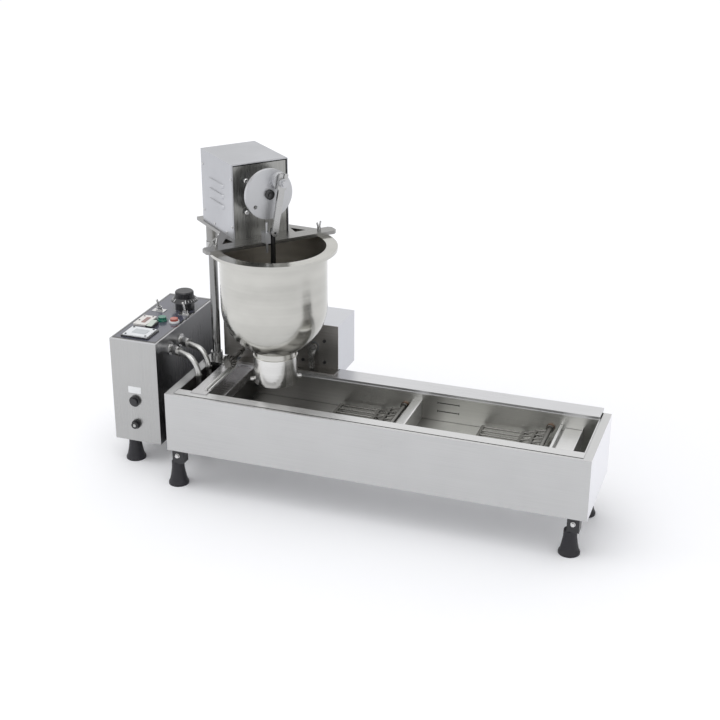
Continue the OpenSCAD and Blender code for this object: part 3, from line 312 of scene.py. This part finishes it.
def steel(name, color, roughness, grain, turn=0.0, spread=0.07, smudge=0.08, depth=SHEET_DEPTH,
          painted_end_shading=None, painted_top_light=None):
    """Brushed or rolled steel; its right end and its top may get tones of their own, which paint
    light and shade on those faces.
    """
    material, tree, shader = new_material(name, color, METAL, roughness)
    fine, clouds, both = sheet_noise(tree, grain, turn)
    tone = mix_color(tree, both, scaled(color, 1 - spread), scaled(color, 1 + spread))
    # Painted light and shade: faces looking along the object's X get a lighter or darker tone of
    # their own
    if painted_end_shading:
        tone = mix_color(tree, facing(tree, X_AXIS), tone, painted_end_shading)
    # Painted light: faces looking up get a lighter tone of their own
    if painted_top_light:
        tone = mix_color(tree, facing(tree, Z_AXIS), tone, painted_top_light)
    finish_sheet(tree, shader, tone, fine, clouds, roughness, smudge, depth)
    return material


def pan_steel():
    """Rolled sheet, darker towards the tank's left end as painted shade, with a painted shadow
    just right of the divider and a lighter flange as painted light.
    """
    material, tree, shader = new_material("pan_steel", (0.5, 0.5, 0.49), METAL, PAN_ROUGHNESS)
    fine, clouds, both = sheet_noise(tree, ALONG_X)
    painted_shade_tone = mix_color(tree, both, (0.31, 0.305, 0.297), (0.38, 0.375, 0.363))
    painted_light_tone = mix_color(tree, both, (0.58, 0.58, 0.56), (0.68, 0.68, 0.655))
    # Painted light and shade: darker towards the tank's left end, lighter towards its right
    from_left = along(tree, at(0, 0, 0), X_AXIS)
    tone = mix_color(tree, remap(tree, from_left, 0, 1, *LEFT_SHADE_FADE), painted_shade_tone, painted_light_tone)
    # Painted shadow: the wall and floor just right of the divider are darkened
    beside = along(tree, at(DIVIDER_FACE, 0, 0), X_AXIS)
    painted_shadow = calc(tree, "MULTIPLY", remap(tree, beside, DIVIDER_SHADOW_SHARE, 0, *DIVIDER_SHADOW_FADE),
                 calc(tree, "GREATER_THAN", beside, 0.0))
    tone = mix_color(tree, painted_shadow, tone, (0.27, 0.265, 0.255))
    # Painted light: above this height the flange's top gets a lighter tone
    lit_flange = calc(tree, "GREATER_THAN", along(tree, at(0, 0, PAN_FLANGE), Z_AXIS), 0.0)
    tone = mix_color(tree, lit_flange, tone, (0.66, 0.66, 0.66))
    finish_sheet(tree, shader, tone, fine, clouds, PAN_ROUGHNESS, PAN_SMUDGE, SHEET_DEPTH)
    return material


def spun_steel(name, color, roughness, rings, depth, painted_inner_tone=None):
    """Steel spun on a lathe: faint level rings and soft smudges, rougher inside, where the inner
    side may get a tone of its own painted for the light inside the bowl.
    """
    material, tree, shader = new_material(name, color, METAL, roughness)
    bands = noise(tree, (RING_DRIFT, RING_DRIFT, rings), COARSE_DETAIL)
    clouds = noise(tree, SPUN_CLOUDS)
    both = calc(tree, "ADD", remap(tree, clouds, 0, 0.5), remap(tree, bands, 0, 0.5))
    tone = mix_color(tree, both, scaled(color, 0.84), scaled(color, 1.08))
    rough = calc(tree, "ADD", remap(tree, bands, roughness - 0.03, roughness + 0.04),
                 remap(tree, clouds, -0.03, 0.05))
    # Painted light and shade: the inner side gets a tone of its own, set for the light inside the
    # bowl
    if painted_inner_tone:
        outwards = from_place(tree, at(HOPPER.x, HOPPER.y, HOPPER_MIDDLE))
        inner = calc(tree, "LESS_THAN", dot(tree, outwards, surface_normal(tree)), INNER_LIMIT)
        painted_inner = mix_color(tree, both, scaled(painted_inner_tone, 0.8), scaled(painted_inner_tone, 1.2))
        tone = mix_color(tree, inner, tone, painted_inner)
        rough = calc(tree, "ADD", rough, calc(tree, "MULTIPLY", inner, INNER_ROUGHER))
    paint(tree, shader, tone, rough)
    bump(tree, shader, bands, depth, SPUN_BUMP)
    return material


def housing_steel():
    """Satin housing whose inset front plate is a darker, brushed sheet with a dark joint; the
    plate's darker tone is partly a painted reflection of dark surroundings.
    """
    material, tree, shader = new_material("housing_steel", (0.5, 0.51, 0.525), METAL, 0.44)
    on_front = at_head(0, MOTOR_FACE, HEAD_Z)
    depth = calc(tree, "ABSOLUTE", along(tree, on_front, HEAD_Y))
    front = calc(tree, "LESS_THAN", depth, FRONT_SLACK)
    grain = noise(tree, ALONG_Z, turn=HEAD_TURN)
    clouds = noise(tree, SHEET_CLOUDS)
    side = mix_color(tree, remap(tree, clouds, 0, 1), (0.46, 0.466, 0.485), (0.52, 0.526, 0.548))
    # Partly painted reflection: the front plate's darker tone helps stand in for the dark
    # surroundings it reflects
    face = mix_color(tree, remap(tree, grain, 0, 1), (0.3, 0.3, 0.285), (0.4, 0.4, 0.385))
    across = calc(tree, "ABSOLUTE", along(tree, on_front, HEAD_X))
    side_joint = calc(tree, "GREATER_THAN", across, (MOTOR_HALF - SIDE_JOINT) / 1000)
    height = along(tree, on_front, Z_AXIS)
    top_joint = calc(tree, "GREATER_THAN", height, (MOTOR_H - TOP_JOINT) / 1000)
    joint = calc(tree, "MAXIMUM", side_joint, top_joint)
    face = mix_color(tree, joint, face, (0.02, 0.02, 0.02))
    rough = calc(tree, "ADD", remap(tree, grain, 0.42, 0.5),
                 calc(tree, "MULTIPLY", front, FRONT_SMOOTHER))
    paint(tree, shader, mix_color(tree, front, side, face), rough)
    bump(tree, shader, grain, strength=0.15, distance=SHEET_BUMP)
    return material


# Plastic, film and rubber

# Distances of the bumps in metres, and roughnesses of the clear coats
MOULD_BUMP = 0.0003
MODULE_BUMP = 0.0002
GLOSSY_COAT = 0.08
FILM_COAT = 0.1

# Scales of the smudges and of the fine skin
MOULD_CLOUDS = even(40)
FILM_CLOUDS = even(30)
MODULE_CLOUDS = even(60)
FILM_SKIN = even(900)
MODULE_SKIN = even(1200)

# The film starts this far from the panel's edge, and its black line ends this far, in metres
FILM_INSET = 0.0022
LINE_INSET = 0.0058
# From the panel's front and rear, distances count by this share, so the bands are wider there
END_SHARE = 0.5

# Heights above the panel where the modules' faces begin, in millimetres
CONTROLLER_STEP = 2.6
TIMER_STEP = 1.5


def plastic(name, color, roughness, grain=900, depth=0.15, coat=0.0, spread=0.1):
    """Moulded plastic or rubber: fine skin texture and slight change of tone."""
    material, tree, shader = new_material(name, color, NO_METAL, roughness)
    clouds = noise(tree, MOULD_CLOUDS)
    tone = mix_color(tree, remap(tree, clouds, 0, 1), scaled(color, 1 - spread),
                     scaled(color, 1 + spread))
    paint(tree, shader, tone, remap(tree, clouds, roughness - 0.06, roughness + 0.06))
    clear_coat(shader, coat, GLOSSY_COAT)
    bump(tree, shader, noise(tree, even(grain), COARSE_DETAIL), depth, MOULD_BUMP)
    return material


def edge_distance(tree, origin, size):
    """Distance from the nearest edge of a level rectangle, in metres, its ends by END_SHARE."""
    distances = []
    for axis, length, share in ((X_AXIS, size[0], 1.0), (Y_AXIS, size[1], END_SHARE)):
        from_low = along(tree, origin, axis)
        from_high = calc(tree, "SUBTRACT", length / 1000, from_low)
        nearest = calc(tree, "MINIMUM", from_low, from_high)
        distances.append(calc(tree, "MULTIPLY", nearest, share))
    return calc(tree, "MINIMUM", *distances)


def panel_film():
    """Dark film with a black border line, set in from the bare steel edge of the panel."""
    material, tree, shader = new_material("panel_film", (0.09, 0.085, 0.115), NO_METAL, 0.2)
    distance = edge_distance(tree, at_panel(0, 0, 0), PANEL_SIZE)
    film = calc(tree, "GREATER_THAN", distance, FILM_INSET)
    inner = calc(tree, "GREATER_THAN", distance, LINE_INSET)
    clouds = noise(tree, FILM_CLOUDS)
    tone = mix_color(tree, remap(tree, clouds, 0, 1), (0.055, 0.057, 0.085), (0.075, 0.078, 0.11))
    tone = mix_color(tree, inner, (0.004, 0.004, 0.005), tone)
    tone = mix_color(tree, film, (0.5, 0.5, 0.51), tone)
    paint(tree, shader, tone, remap(tree, clouds, 0.16, 0.28))
    tree.links.new(calc(tree, "SUBTRACT", 1.0, film), shader.inputs["Metallic"])
    clear_coat(shader, weight=0.4, roughness=FILM_COAT)
    bump(tree, shader, noise(tree, FILM_SKIN, COARSE_DETAIL), strength=0.06,
         distance=MOULD_BUMP)
    return material


def two_levels(name, low_color, high_color, level, roughness, coat):
    """A moulded module whose base and face differ: one colour below a level, one above it."""
    material, tree, shader = new_material(name, high_color, NO_METAL, roughness)
    upper = calc(tree, "GREATER_THAN", along(tree, (0, 0, level / 1000), Z_AXIS), 0.0)
    clouds = noise(tree, MODULE_CLOUDS)
    high = mix_color(tree, remap(tree, clouds, 0, 1), scaled(high_color, 0.95), high_color)
    tone = mix_color(tree, upper, low_color, high)
    paint(tree, shader, tone, remap(tree, clouds, roughness - 0.05, roughness + 0.05))
    clear_coat(shader, coat, GLOSSY_COAT)
    bump(tree, shader, noise(tree, MODULE_SKIN, COARSE_DETAIL), strength=0.08,
         distance=MODULE_BUMP)
    return material


# Materials, and the CAD nodes that wear them

MATERIALS = {
    # Painted light: the shell's right end and its top faces get lighter tones of their own
    "shell": steel("shell_steel", (0.535, 0.536, 0.534), 0.33, ALONG_X, painted_end_shading=(0.87, 0.87, 0.9),
                   painted_top_light=(0.6, 0.6, 0.6)),
    "cover": steel("cover_steel", (0.64, 0.642, 0.655), 0.32, ALONG_X),
    "drive_box": steel("drive_box_steel", (0.62, 0.627, 0.655), 0.4, ALONG_X, spread=0.04),
    "drive_plate": steel("drive_plate_steel", (0.26, 0.25, 0.238), 0.38, ALONG_X, spread=0.12),
    # Painted shade: the control box's right wall gets a darker tone of its own
    "box": steel("box_steel", (0.445, 0.445, 0.44), 0.3, ALONG_Z, depth=0.1,
                 painted_end_shading=(0.2, 0.2, 0.205)),
    "pan": pan_steel(),
    "rail": steel("rail_steel", (0.86, 0.86, 0.85), 0.42, even(60), spread=0.04),
    "divider": steel("divider_steel", (0.74, 0.74, 0.735), 0.36, ALONG_X, spread=0.06),
    "bridge": steel("bridge_steel", (0.54, 0.535, 0.54), 0.25, ALONG_X),
    "wire": steel("wire_steel", (0.22, 0.215, 0.205), 0.28, even(40)),
    # Painted light and shade: the hopper's inner side has a tone of its own for the light inside
    # the bowl
    "hopper": spun_steel("hopper_steel", (0.53, 0.524, 0.492), 0.15, rings=55, depth=0.1,
                         painted_inner_tone=(0.62, 0.6, 0.565)),
    "nozzle": spun_steel("nozzle_steel", (0.68, 0.676, 0.66), 0.18, rings=140, depth=0.05),
    "housing": housing_steel(),
    "head": steel("head_steel", (0.29, 0.287, 0.28), 0.3, ALONG_X, turn=-HEAD_TURN),
    "alloy": steel("alloy", (0.555, 0.56, 0.575), 0.45, even(60), spread=0.05),
    "bright": steel("bright_steel", (0.66, 0.66, 0.655), 0.2, even(80), spread=0.05),
    "plain": steel("plain_steel", (0.45, 0.45, 0.445), 0.27, even(80), spread=0.06),
    "tube": steel("tube_chrome", (0.52, 0.52, 0.51), 0.27, even(30), spread=0.06, smudge=0.1),
    # Painted reflection: the column's dark tone stands in for the dark surroundings the polished
    # column reflects
    "column": steel("column_steel_painted_reflection", (0.27, 0.27, 0.268), 0.2, DRAWN),
    "dark": steel("dark_steel", (0.07, 0.07, 0.072), 0.36, even(60)),
    "motor": plastic("motor_paint", (0.2, 0.21, 0.22), 0.4),
    "bronze": steel("bush_bronze", (0.2, 0.13, 0.09), 0.4, even(90)),
    "black": plastic("black_plastic", (0.018, 0.018, 0.021), 0.34, coat=0.1, spread=0.2),
    "rubber": plastic("foot_rubber", (0.009, 0.0085, 0.013), 0.5, grain=500, depth=0.3,
                      spread=0.25),
    "module": two_levels("controller_plastic", (0.02, 0.02, 0.022), (0.72, 0.74, 0.77),
                         PANEL.z + CONTROLLER_STEP, roughness=0.22, coat=0.4),
    "timer": two_levels("timer_plastic", (0.4, 0.38, 0.37), (0.74, 0.72, 0.7),
                        PANEL.z + TIMER_STEP, roughness=0.3, coat=0.2),
    "pale": plastic("rocker_plastic", (0.52, 0.58, 0.52), 0.25, coat=0.3, spread=0.05),
    "white": plastic("label_white", (0.82, 0.83, 0.84), 0.35, spread=0.03),
    "glass": plastic("window_glass", (0.42, 0.45, 0.48), 0.08, coat=0.8, spread=0.12),
    "window": plastic("window_red", (0.2, 0.075, 0.06), 0.15, coat=0.6, spread=0.15),
    "green": plastic("green_plastic", (0.012, 0.17, 0.11), 0.2, coat=0.5),
    "red": plastic("red_plastic", (0.42, 0.1, 0.075), 0.25, coat=0.4),
    "ink": plastic("line_ink", (0.015, 0.015, 0.016), 0.5),
    "panel": panel_film(),
}

DRESS = {
    "shell": ["tank_shell"],
    "cover": ["rear_cover"],
    "drive_box": ["rear_box_cover"],
    "drive_plate": ["rear_plate"],
    "box": ["control_box", "control_back"],
    "pan": ["oil_pan", "loose_floor_plate"],
    "divider": ["divider", "exit_chute"],
    "bridge": ["bridge_plate"],
    "rail": ["bridge_rail"],
    "wire": ["flipper_1", "flipper_2", "timing_gear"],
    "hopper": ["hopper"],
    "nozzle": ["nozzle_cylinder"],
    "housing": ["motor_housing"],
    "head": ["head_plate"],
    "alloy": ["crank", "guide_block", "trip_lever"],
    "bright": ["nozzle_screws", "toggle_bushes", "toggle_1", "toggle_2", "foot_bolts",
               "heater_glands"],
    "plain": ["column_base", "column_collar", "coupling_bar", "wing_screws", "drive_crank",
              "drive_link", "con_rod"],
    "tube": ["heater_element"],
    "column": ["column"],
    "dark": ["plunger", "joining_channel", "rear_screws", "button_bezels"],
    "motor": ["rear_gear_motor", "head_gear_motor"],
    "bronze": ["shaft_bushes"],
    "black": ["power_gland", "rocker_frame", "regulator", "dial_knob", "reset_housing",
              "reset_button", "fuse_holder", "foot_brackets"],
    "rubber": ["tank_feet", "control_feet"],
    "module": ["temperature_controller"],
    "timer": ["timer_module"],
    "pale": ["rocker"],
    "green": ["green_button"],
    "red": ["red_button"],
    "panel": ["control_panel"],
}


def dress_nodes():
    """Gives each CAD node its material."""
    for key, names in DRESS.items():
        for name in names:
            mesh = nodes[name].data
            mesh.materials.clear()
            mesh.materials.append(MATERIALS[key])


# Steps that small pieces are made of

CORNERS = ((1, 1), (-1, 1), (-1, -1), (1, -1))
SHARP_ANGLE = math.radians(35)

# A screw head's outline, in shares of its radius and height, down into its socket
SCREW_PROFILE = ((1, 0), (1, 0.6), (0.8, 1), (0.5, 1), (0.42, 0.5), (0.1, 0.45))
SCREW_STEPS = 18


def rounded(size, radius, steps=5):
    """Outline of a rectangle with round corners, about its middle."""
    points = []
    half_x = size[0] / 2 - radius
    half_y = size[1] / 2 - radius
    for corner, (side_x, side_y) in enumerate(CORNERS):
        for step in range(steps + 1):
            angle = math.radians(90 * (corner + step / steps))
            points.append((side_x * half_x + radius * math.cos(angle),
                           side_y * half_y + radius * math.sin(angle)))
    return points


def skin(bm, rings, looped=False):
    """Shell through rings of points; its ends are filled, or joined to each other if looped."""
    loops = [[bm.verts.new(point) for point in ring] for ring in rings]
    count = len(loops[0])
    uppers = loops[1:] + loops[:1] if looped else loops[1:]
    for lower, upper in zip(loops, uppers):
        for i in range(count):
            following = (i + 1) % count
            bm.faces.new((lower[i], lower[following], upper[following], upper[i]))
    if not looped:
        bm.faces.new(list(reversed(loops[0])))
        bm.faces.new(loops[-1])


def plate(bm, place, points, thickness, edge, center=(0, 0)):
    """Thin plate with a bevelled top edge."""
    reach = max(max(abs(x), abs(y)) for x, y in points)
    shrink = 1 - edge / reach
    levels = ((0, 1), (thickness - edge, 1), (thickness, shrink))
    rings = [[place @ Vector((center[0] + x * scale, center[1] + y * scale, z)) for x, y in points]
             for z, scale in levels]
    skin(bm, rings)


def turned(bm, place, profile, steps, center=(0, 0), looped=False):
    """Shell turned about the local Z axis through a profile of radius and height."""
    angles = [2 * math.pi * i / steps for i in range(steps)]
    rings = [[place @ Vector((center[0] + radius * math.cos(angle),
                              center[1] + radius * math.sin(angle), height)) for angle in angles]
             for radius, height in profile]
    skin(bm, rings, looped)


def screw(bm, place, radius, height, center):
    """Round screw head with a socket in its top."""
    profile = [(wide * radius, high * height) for wide, high in SCREW_PROFILE]
    turned(bm, place, profile, SCREW_STEPS, center)


def piece(name, bm, material, body):
    """Finishes a mesh as a piece that rides on a body."""
    bmesh.ops.recalc_face_normals(bm, faces=bm.faces)
    mesh = bpy.data.meshes.new(name)
    bm.to_mesh(mesh)
    bm.free()
    mesh.materials.append(MATERIALS[material])
    mesh.shade_smooth()
    mesh.set_sharp_from_angle(angle=SHARP_ANGLE)
    obj = bpy.data.objects.new(name, mesh)
    scene.collection.objects.link(obj)
    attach(obj, body)


def raised(place, height):
    """The same frame, lifted along its own Z in millimetres."""
    return place @ Matrix.Translation((0, 0, height))


# Small pieces, with their sizes in millimetres

PANEL_FRAME = placed(at_panel(0, 0, 0), X_AXIS, Z_AXIS)
BOX_FRONT = placed(at(PANEL.x, PANEL.y, 0), X_AXIS, TO_FRONT)
PAN_WALL = placed(at(0, PAN_REAR_FACE, 0), X_AXIS, TO_FRONT)

LABEL_SIZE = (30, 15)
LABEL_X = 52
LABEL_HEIGHT = 171
RIVET_REACH = 12.4
RIVET_BASE = 0.5

# Printed lines and marks
PRINT_THICKNESS = 0.25
PRINT_EDGE = 0.1
PRINT_STEPS = 2

LEVEL_HEIGHTS = (200, 181.6)
LEVEL_X = 546.5
LEVEL_LINE = (44, 1.8)
LEVEL_STOP = (1.4, 5)
LEVEL_CORNER = 0.4
STOP_REACH = 22.3

MODULE_FACE = 5
WINDOW_EDGE = 0.3
CONTROLLER_WINDOW = (33, 22)
CONTROLLER_SHIFT = (2, 1)
CONTROLLER_SCREWS = (23, 19)
TIMER_WINDOW = (9, 30)
TIMER_SHIFT = (2.5, 0.5)
TIMER_SCREWS = ((-11, -4), (-11, 20), (9, 21))

MARK_COUNT = 21
MARK_FIRST = -60
MARK_STEP = 15
LONG_EVERY = 5
LONG_MARK = (7.5, 1.5)
SHORT_MARK = (4.5, 0.9)
MARK_CORNER = 0.3
MARK_LIFT = 0.02
SKIRT_MIDDLE = Vector((26, 0, 23.3))
SKIRT_SLOPE = Vector((8, 0, -8)).normalized()
SKIRT_NORMAL = Vector((8, 0, 8)).normalized()

BUTTON_RING = ((10.9, 0), (10.9, 3.6), (10.3, 4.5), (9.4, 4.5), (9.4, 3.9), (10.2, 3.8))
RING_STEPS = 36

LOUVER_HEIGHTS = (54, 75, 96)
LOUVER_MIDDLE = 128
LOUVER_SIZE = (72, 9)
LOUVER_CORNER = 4.2
# Height of each ring of a hood with its share of the width; the length keeps at least HOOD_KEEP
HOOD_RINGS = ((0, 1.0), (1.5, 0.93), (2.6, 0.8), (3.0, 0.55))
HOOD_KEEP = 0.3
HOUSING_SCREWS = ((57, 120), (57, 24), (82, 7), (142, 8), (192, 24), (192, 120))

BOLT_LENGTH = 5
BOLT_REACH = 32
BOLT_HEIGHTS = (-42, 22)

CRANK_FACE = 7
NUT_PROFILE = ((9.6, -5), (9.6, 0.2), (8.4, 1.2), (5.2, 1.3), (4.8, 3.4), (1, 3.8))
FUSE_X = 52
FUSE_OUT = 11
FUSE_HEIGHT = 92.1
FUSE_PROFILE = ((3.4, -0.2), (3.4, 0.6), (2.9, 1.1), (1.6, 1.2), (1.2, 0.7), (0.3, 0.7))
CAP_STEPS = 24


def add_label():
    """Bare label on the control box's front, held by two rivets."""
    bm = bmesh.new()
    plate(bm, BOX_FRONT, rounded(LABEL_SIZE, radius=1.5), thickness=0.7, edge=0.3,
          center=(LABEL_X, LABEL_HEIGHT))
    for side in (-1, 1):
        center = (LABEL_X + side * RIVET_REACH, LABEL_HEIGHT)
        screw(bm, raised(BOX_FRONT, RIVET_BASE), radius=0.9, height=0.7, center=center)
    piece("label_plate", bm, "white", "base")


def add_level_lines():
    """Two oil level lines on the pan's rear wall, with a short stop at each end."""
    line = rounded(LEVEL_LINE, LEVEL_CORNER, PRINT_STEPS)
    stop = rounded(LEVEL_STOP, LEVEL_CORNER, PRINT_STEPS)
    bm = bmesh.new()
    for height in LEVEL_HEIGHTS:
        for points, shift in ((line, 0), (stop, -STOP_REACH), (stop, STOP_REACH)):
            plate(bm, PAN_WALL, points, PRINT_THICKNESS, PRINT_EDGE, (LEVEL_X + shift, height))
    piece("level_lines", bm, "ink", "base")


def add_module_faces():
    """Windows and screws in the faces of the controller and the timer."""
    face = raised(PANEL_FRAME, MODULE_FACE)
    bm = bmesh.new()
    center = (CONTROLLER[0] + CONTROLLER_SHIFT[0], CONTROLLER[1] + CONTROLLER_SHIFT[1])
    plate(bm, face, rounded(CONTROLLER_WINDOW, radius=2), thickness=0.6, edge=WINDOW_EDGE,
          center=center)
    piece("controller_window", bm, "glass", "base")
    bm = bmesh.new()
    for side_x in (-1, 1):
        for side_y in (-1, 1):
            center = (CONTROLLER[0] + side_x * CONTROLLER_SCREWS[0],
                      CONTROLLER[1] + side_y * CONTROLLER_SCREWS[1])
            screw(bm, face, radius=2.3, height=1.0, center=center)
    for x, y in TIMER_SCREWS:
        screw(bm, face, radius=1.8, height=0.9, center=(TIMER[0] + x, TIMER[1] + y))
    piece("module_screws", bm, "ink", "base")
    bm = bmesh.new()
    center = (TIMER[0] + TIMER_SHIFT[0], TIMER[1] + TIMER_SHIFT[1])
    plate(bm, face, rounded(TIMER_WINDOW, radius=1.5), thickness=0.7, edge=WINDOW_EDGE,
          center=center)
    piece("timer_window", bm, "window", "base")


def add_dial_marks():
    """White marks on the dial's sloping skirt, some of them longer."""
    center = at_panel(*DIAL, 0)
    bm = bmesh.new()
    for i in range(MARK_COUNT):
        turn = Matrix.Rotation(math.radians(MARK_FIRST + MARK_STEP * i), 4, "Z")
        normal = turn @ SKIRT_NORMAL
        middle = turn @ SKIRT_MIDDLE
        place = placed(center + (middle + normal * MARK_LIFT) / 1000, turn @ SKIRT_SLOPE, normal)
        size = SHORT_MARK if i % LONG_EVERY else LONG_MARK
        plate(bm, place, rounded(size, MARK_CORNER, PRINT_STEPS), PRINT_THICKNESS, PRINT_EDGE)
    piece("dial_marks", bm, "white", "dial_knob")


def add_button_rings():
    """Green ring round the green cap, white ring round the red cap."""
    for name, center, material in (("green_ring", GREEN_BUTTON, "green"),
                                   ("red_ring", RED_BUTTON, "white")):
        bm = bmesh.new()
        turned(bm, PANEL_FRAME, BUTTON_RING, RING_STEPS, center, looped=True)
        piece(name, bm, material, "base")


def add_housing_details():
    """Pressed louver hoods and screws on both sides of the motor housing."""
    outline = rounded(LOUVER_SIZE, LOUVER_CORNER)
    for name, side in (("left", -1), ("right", 1)):
        # The left wall's own Y points down, so heights change sign there
        wall = placed(at_head(side * MOTOR_HALF, 0, HEAD_Z), HEAD_Y, HEAD_X * side)
        bm = bmesh.new()
        for height in LOUVER_HEIGHTS:
            rings = []
            for lift, share in HOOD_RINGS:
                stretch = HOOD_KEEP + (1 - HOOD_KEEP) * share
                rings.append([wall @ Vector((LOUVER_MIDDLE + x * stretch,
                                             side * height + y * share, lift))
                              for x, y in outline])
            skin(bm, rings)
        piece("louver_hoods_" + name, bm, "housing", "head")
        bm = bmesh.new()
        for y, z in HOUSING_SCREWS:
            screw(bm, wall, radius=2.6, height=1.6, center=(y, side * z))
        piece("housing_screws_" + name, bm, "bright", "head")


def add_face_bolts():
    """Bright heads on the four bolts that stand out of the housing's front plate."""
    place = placed(at_head(0, MOTOR_FACE - BOLT_LENGTH, HUB_Z), HEAD_X, -HEAD_Y)
    bm = bmesh.new()
    for x in (-BOLT_REACH, BOLT_REACH):
        for height in BOLT_HEIGHTS:
            screw(bm, place, radius=5, height=3, center=(x, height))
    piece("face_bolts", bm, "bright", "head")


def add_crank_nut():
    """Dark washer and nut in the middle of the crank's disc."""
    place = placed(at_head(0, CRANK_FACE, HUB_Z), HEAD_X, -HEAD_Y)
    bm = bmesh.new()
    turned(bm, place, NUT_PROFILE, CAP_STEPS)
    piece("crank_nut", bm, "dark", "crank")


def add_fuse_tip():
    """Bright cap in the middle of the fuse holder."""
    place = placed(at(PANEL.x + FUSE_X, PANEL.y - FUSE_OUT, FUSE_HEIGHT), X_AXIS, TO_FRONT)
    bm = bmesh.new()
    turned(bm, place, FUSE_PROFILE, CAP_STEPS)
    piece("fuse_tip", bm, "plain", "base")


# Camera, solved from the photo's edges, with its place in millimetres from the tank's corner

CAMERA_PLACE = (1207.68, -2257.94, 1389.82)
CAMERA_AZIMUTH = math.radians(19.25)
CAMERA_ELEVATION = math.radians(23.47)
CAMERA_ROLL = math.radians(0.28)
FOCAL_PIXELS = 1378.65
PICTURE_PIXELS = 720
SENSOR_WIDTH = 36


def make_camera():
    """The camera at the photo's place and angle."""
    back = Vector((math.sin(CAMERA_AZIMUTH) * math.cos(CAMERA_ELEVATION),
                   -math.cos(CAMERA_AZIMUTH) * math.cos(CAMERA_ELEVATION),
                   math.sin(CAMERA_ELEVATION)))
    right = Vector((math.cos(CAMERA_AZIMUTH), math.sin(CAMERA_AZIMUTH), 0))
    up = back.cross(right)
    right_rolled = right * math.cos(CAMERA_ROLL) + up * math.sin(CAMERA_ROLL)
    up_rolled = up * math.cos(CAMERA_ROLL) - right * math.sin(CAMERA_ROLL)
    data = bpy.data.cameras.new("camera")
    data.sensor_fit = "HORIZONTAL"
    data.sensor_width = SENSOR_WIDTH
    data.lens = FOCAL_PIXELS / PICTURE_PIXELS * SENSOR_WIDTH
    data.clip_end = 50
    camera = bpy.data.objects.new("camera", data)
    turn = Matrix((right_rolled, up_rolled, back)).transposed().to_4x4()
    camera.matrix_world = Matrix.Translation(at(*CAMERA_PLACE)) @ turn
    scene.collection.objects.link(camera)
    scene.camera = camera


# Floor, surroundings and light

WHITE = (1, 1, 1, 1)
WORLD_LIGHT = 0.85
WORLD_SEEN = 1.0
FLOOR_SIZE = 60

# The floor's own glow near the object and far off, and the span of distances between, in metres
FLOOR_GLOW = (0.03, 0.19)
FLOOR_SPAN = (0.5, 3.0)


def seen_directly(tree):
    """One where the camera looks, straight or by way of metal or glass; zero for plain light."""
    paths = tree.nodes.new("ShaderNodeLightPath")
    seen = calc(tree, "MAXIMUM", paths.outputs["Is Camera Ray"], paths.outputs["Is Glossy Ray"])
    return calc(tree, "MAXIMUM", seen, paths.outputs["Is Transmission Ray"])


def make_world():
    """White surroundings, with a plain level of light."""
    world = bpy.data.worlds.new("surroundings")
    scene.world = world
    world.use_nodes = True
    tree = world.node_tree
    light = tree.nodes["Background"]
    light.inputs["Color"].default_value = WHITE
    strength = remap(tree, seen_directly(tree), WORLD_LIGHT, WORLD_SEEN, 0, 1)
    tree.links.new(strength, light.inputs["Strength"])


def make_floor():
    """A wide pale floor that looks white and takes the shadow."""
    bpy.ops.mesh.primitive_plane_add(size=FLOOR_SIZE, location=(0, 0, 0))
    floor = bpy.context.object
    floor.name = "floor"
    material, tree, shader = new_material("floor_paint", (0.96, 0.965, 0.99), NO_METAL, 0.9)
    shader.inputs["Specular IOR Level"].default_value = 0.0
    shader.inputs["Emission Color"].default_value = WHITE
    # The lamps fade with distance, so the floor far off is lifted to white
    coords = tree.nodes.new("ShaderNodeTexCoord")
    reach = tree.nodes.new("ShaderNodeVectorMath")
    reach.operation = "LENGTH"
    tree.links.new(coords.outputs["Object"], reach.inputs[0])
    lift = remap(tree, reach.outputs["Value"], *FLOOR_GLOW, *FLOOR_SPAN)
    tree.links.new(calc(tree, "MULTIPLY", seen_directly(tree), lift),
                   shader.inputs["Emission Strength"])
    floor.data.materials.append(material)


def aimed(place, target, axis):
    """The rotation that turns an object's axis from its place to a target."""
    return (Vector(target) - Vector(place)).to_track_quat(axis, "Y").to_euler()


def dark_card(name, place, target, size):
    """A dark screen beside the set that only shows in polished metal."""
    material, _, shader = new_material(name + "_cloth", (0.03, 0.03, 0.032), NO_METAL, 0.9)
    shader.inputs["Specular IOR Level"].default_value = 0.0
    bpy.ops.mesh.primitive_plane_add(size=1, location=place)
    card = bpy.context.object
    card.name = name
    card.scale = (size[0], size[1], 1)
    card.rotation_euler = aimed(place, target, "Z")
    card.data.materials.append(material)
    card.visible_camera = False
    card.visible_diffuse = False
    card.visible_transmission = False
    card.visible_shadow = False


def area_light(name, place, target, size, power):
    """A soft area lamp aimed at a point."""
    data = bpy.data.lights.new(name, "AREA")
    data.shape = "RECTANGLE"
    data.size, data.size_y = size
    data.energy = power
    lamp = bpy.data.objects.new(name, data)
    lamp.location = place
    lamp.rotation_euler = aimed(place, target, "-Z")
    scene.collection.objects.link(lamp)


# The scene is put together here

dress_nodes()
add_label()
add_level_lines()
add_module_faces()
add_dial_marks()
add_button_rings()
add_housing_details()
add_face_bolts()
add_crank_nut()
add_fuse_tip()
make_camera()

scene.view_settings.view_transform = "Standard"
make_world()
make_floor()
area_light("top_light", place=(-0.4, -0.4, 3.0), target=(0, 0, 0), size=(2.4, 2.4), power=20)
area_light("left_light", place=(-2.6, -1.2, 1.8), target=(0, 0, 0.3), size=(1.6, 1.6), power=8)
dark_card("dark_card_right", place=(3.0, 1.35, 1.0), target=(-0.2, 0, 0.5), size=(1.5, 2.4))
dark_card("dark_card_low", place=(-0.42, 0.475, 0.01), target=(-0.42, 0.475, 1.0),
          size=(0.6, 0.95))
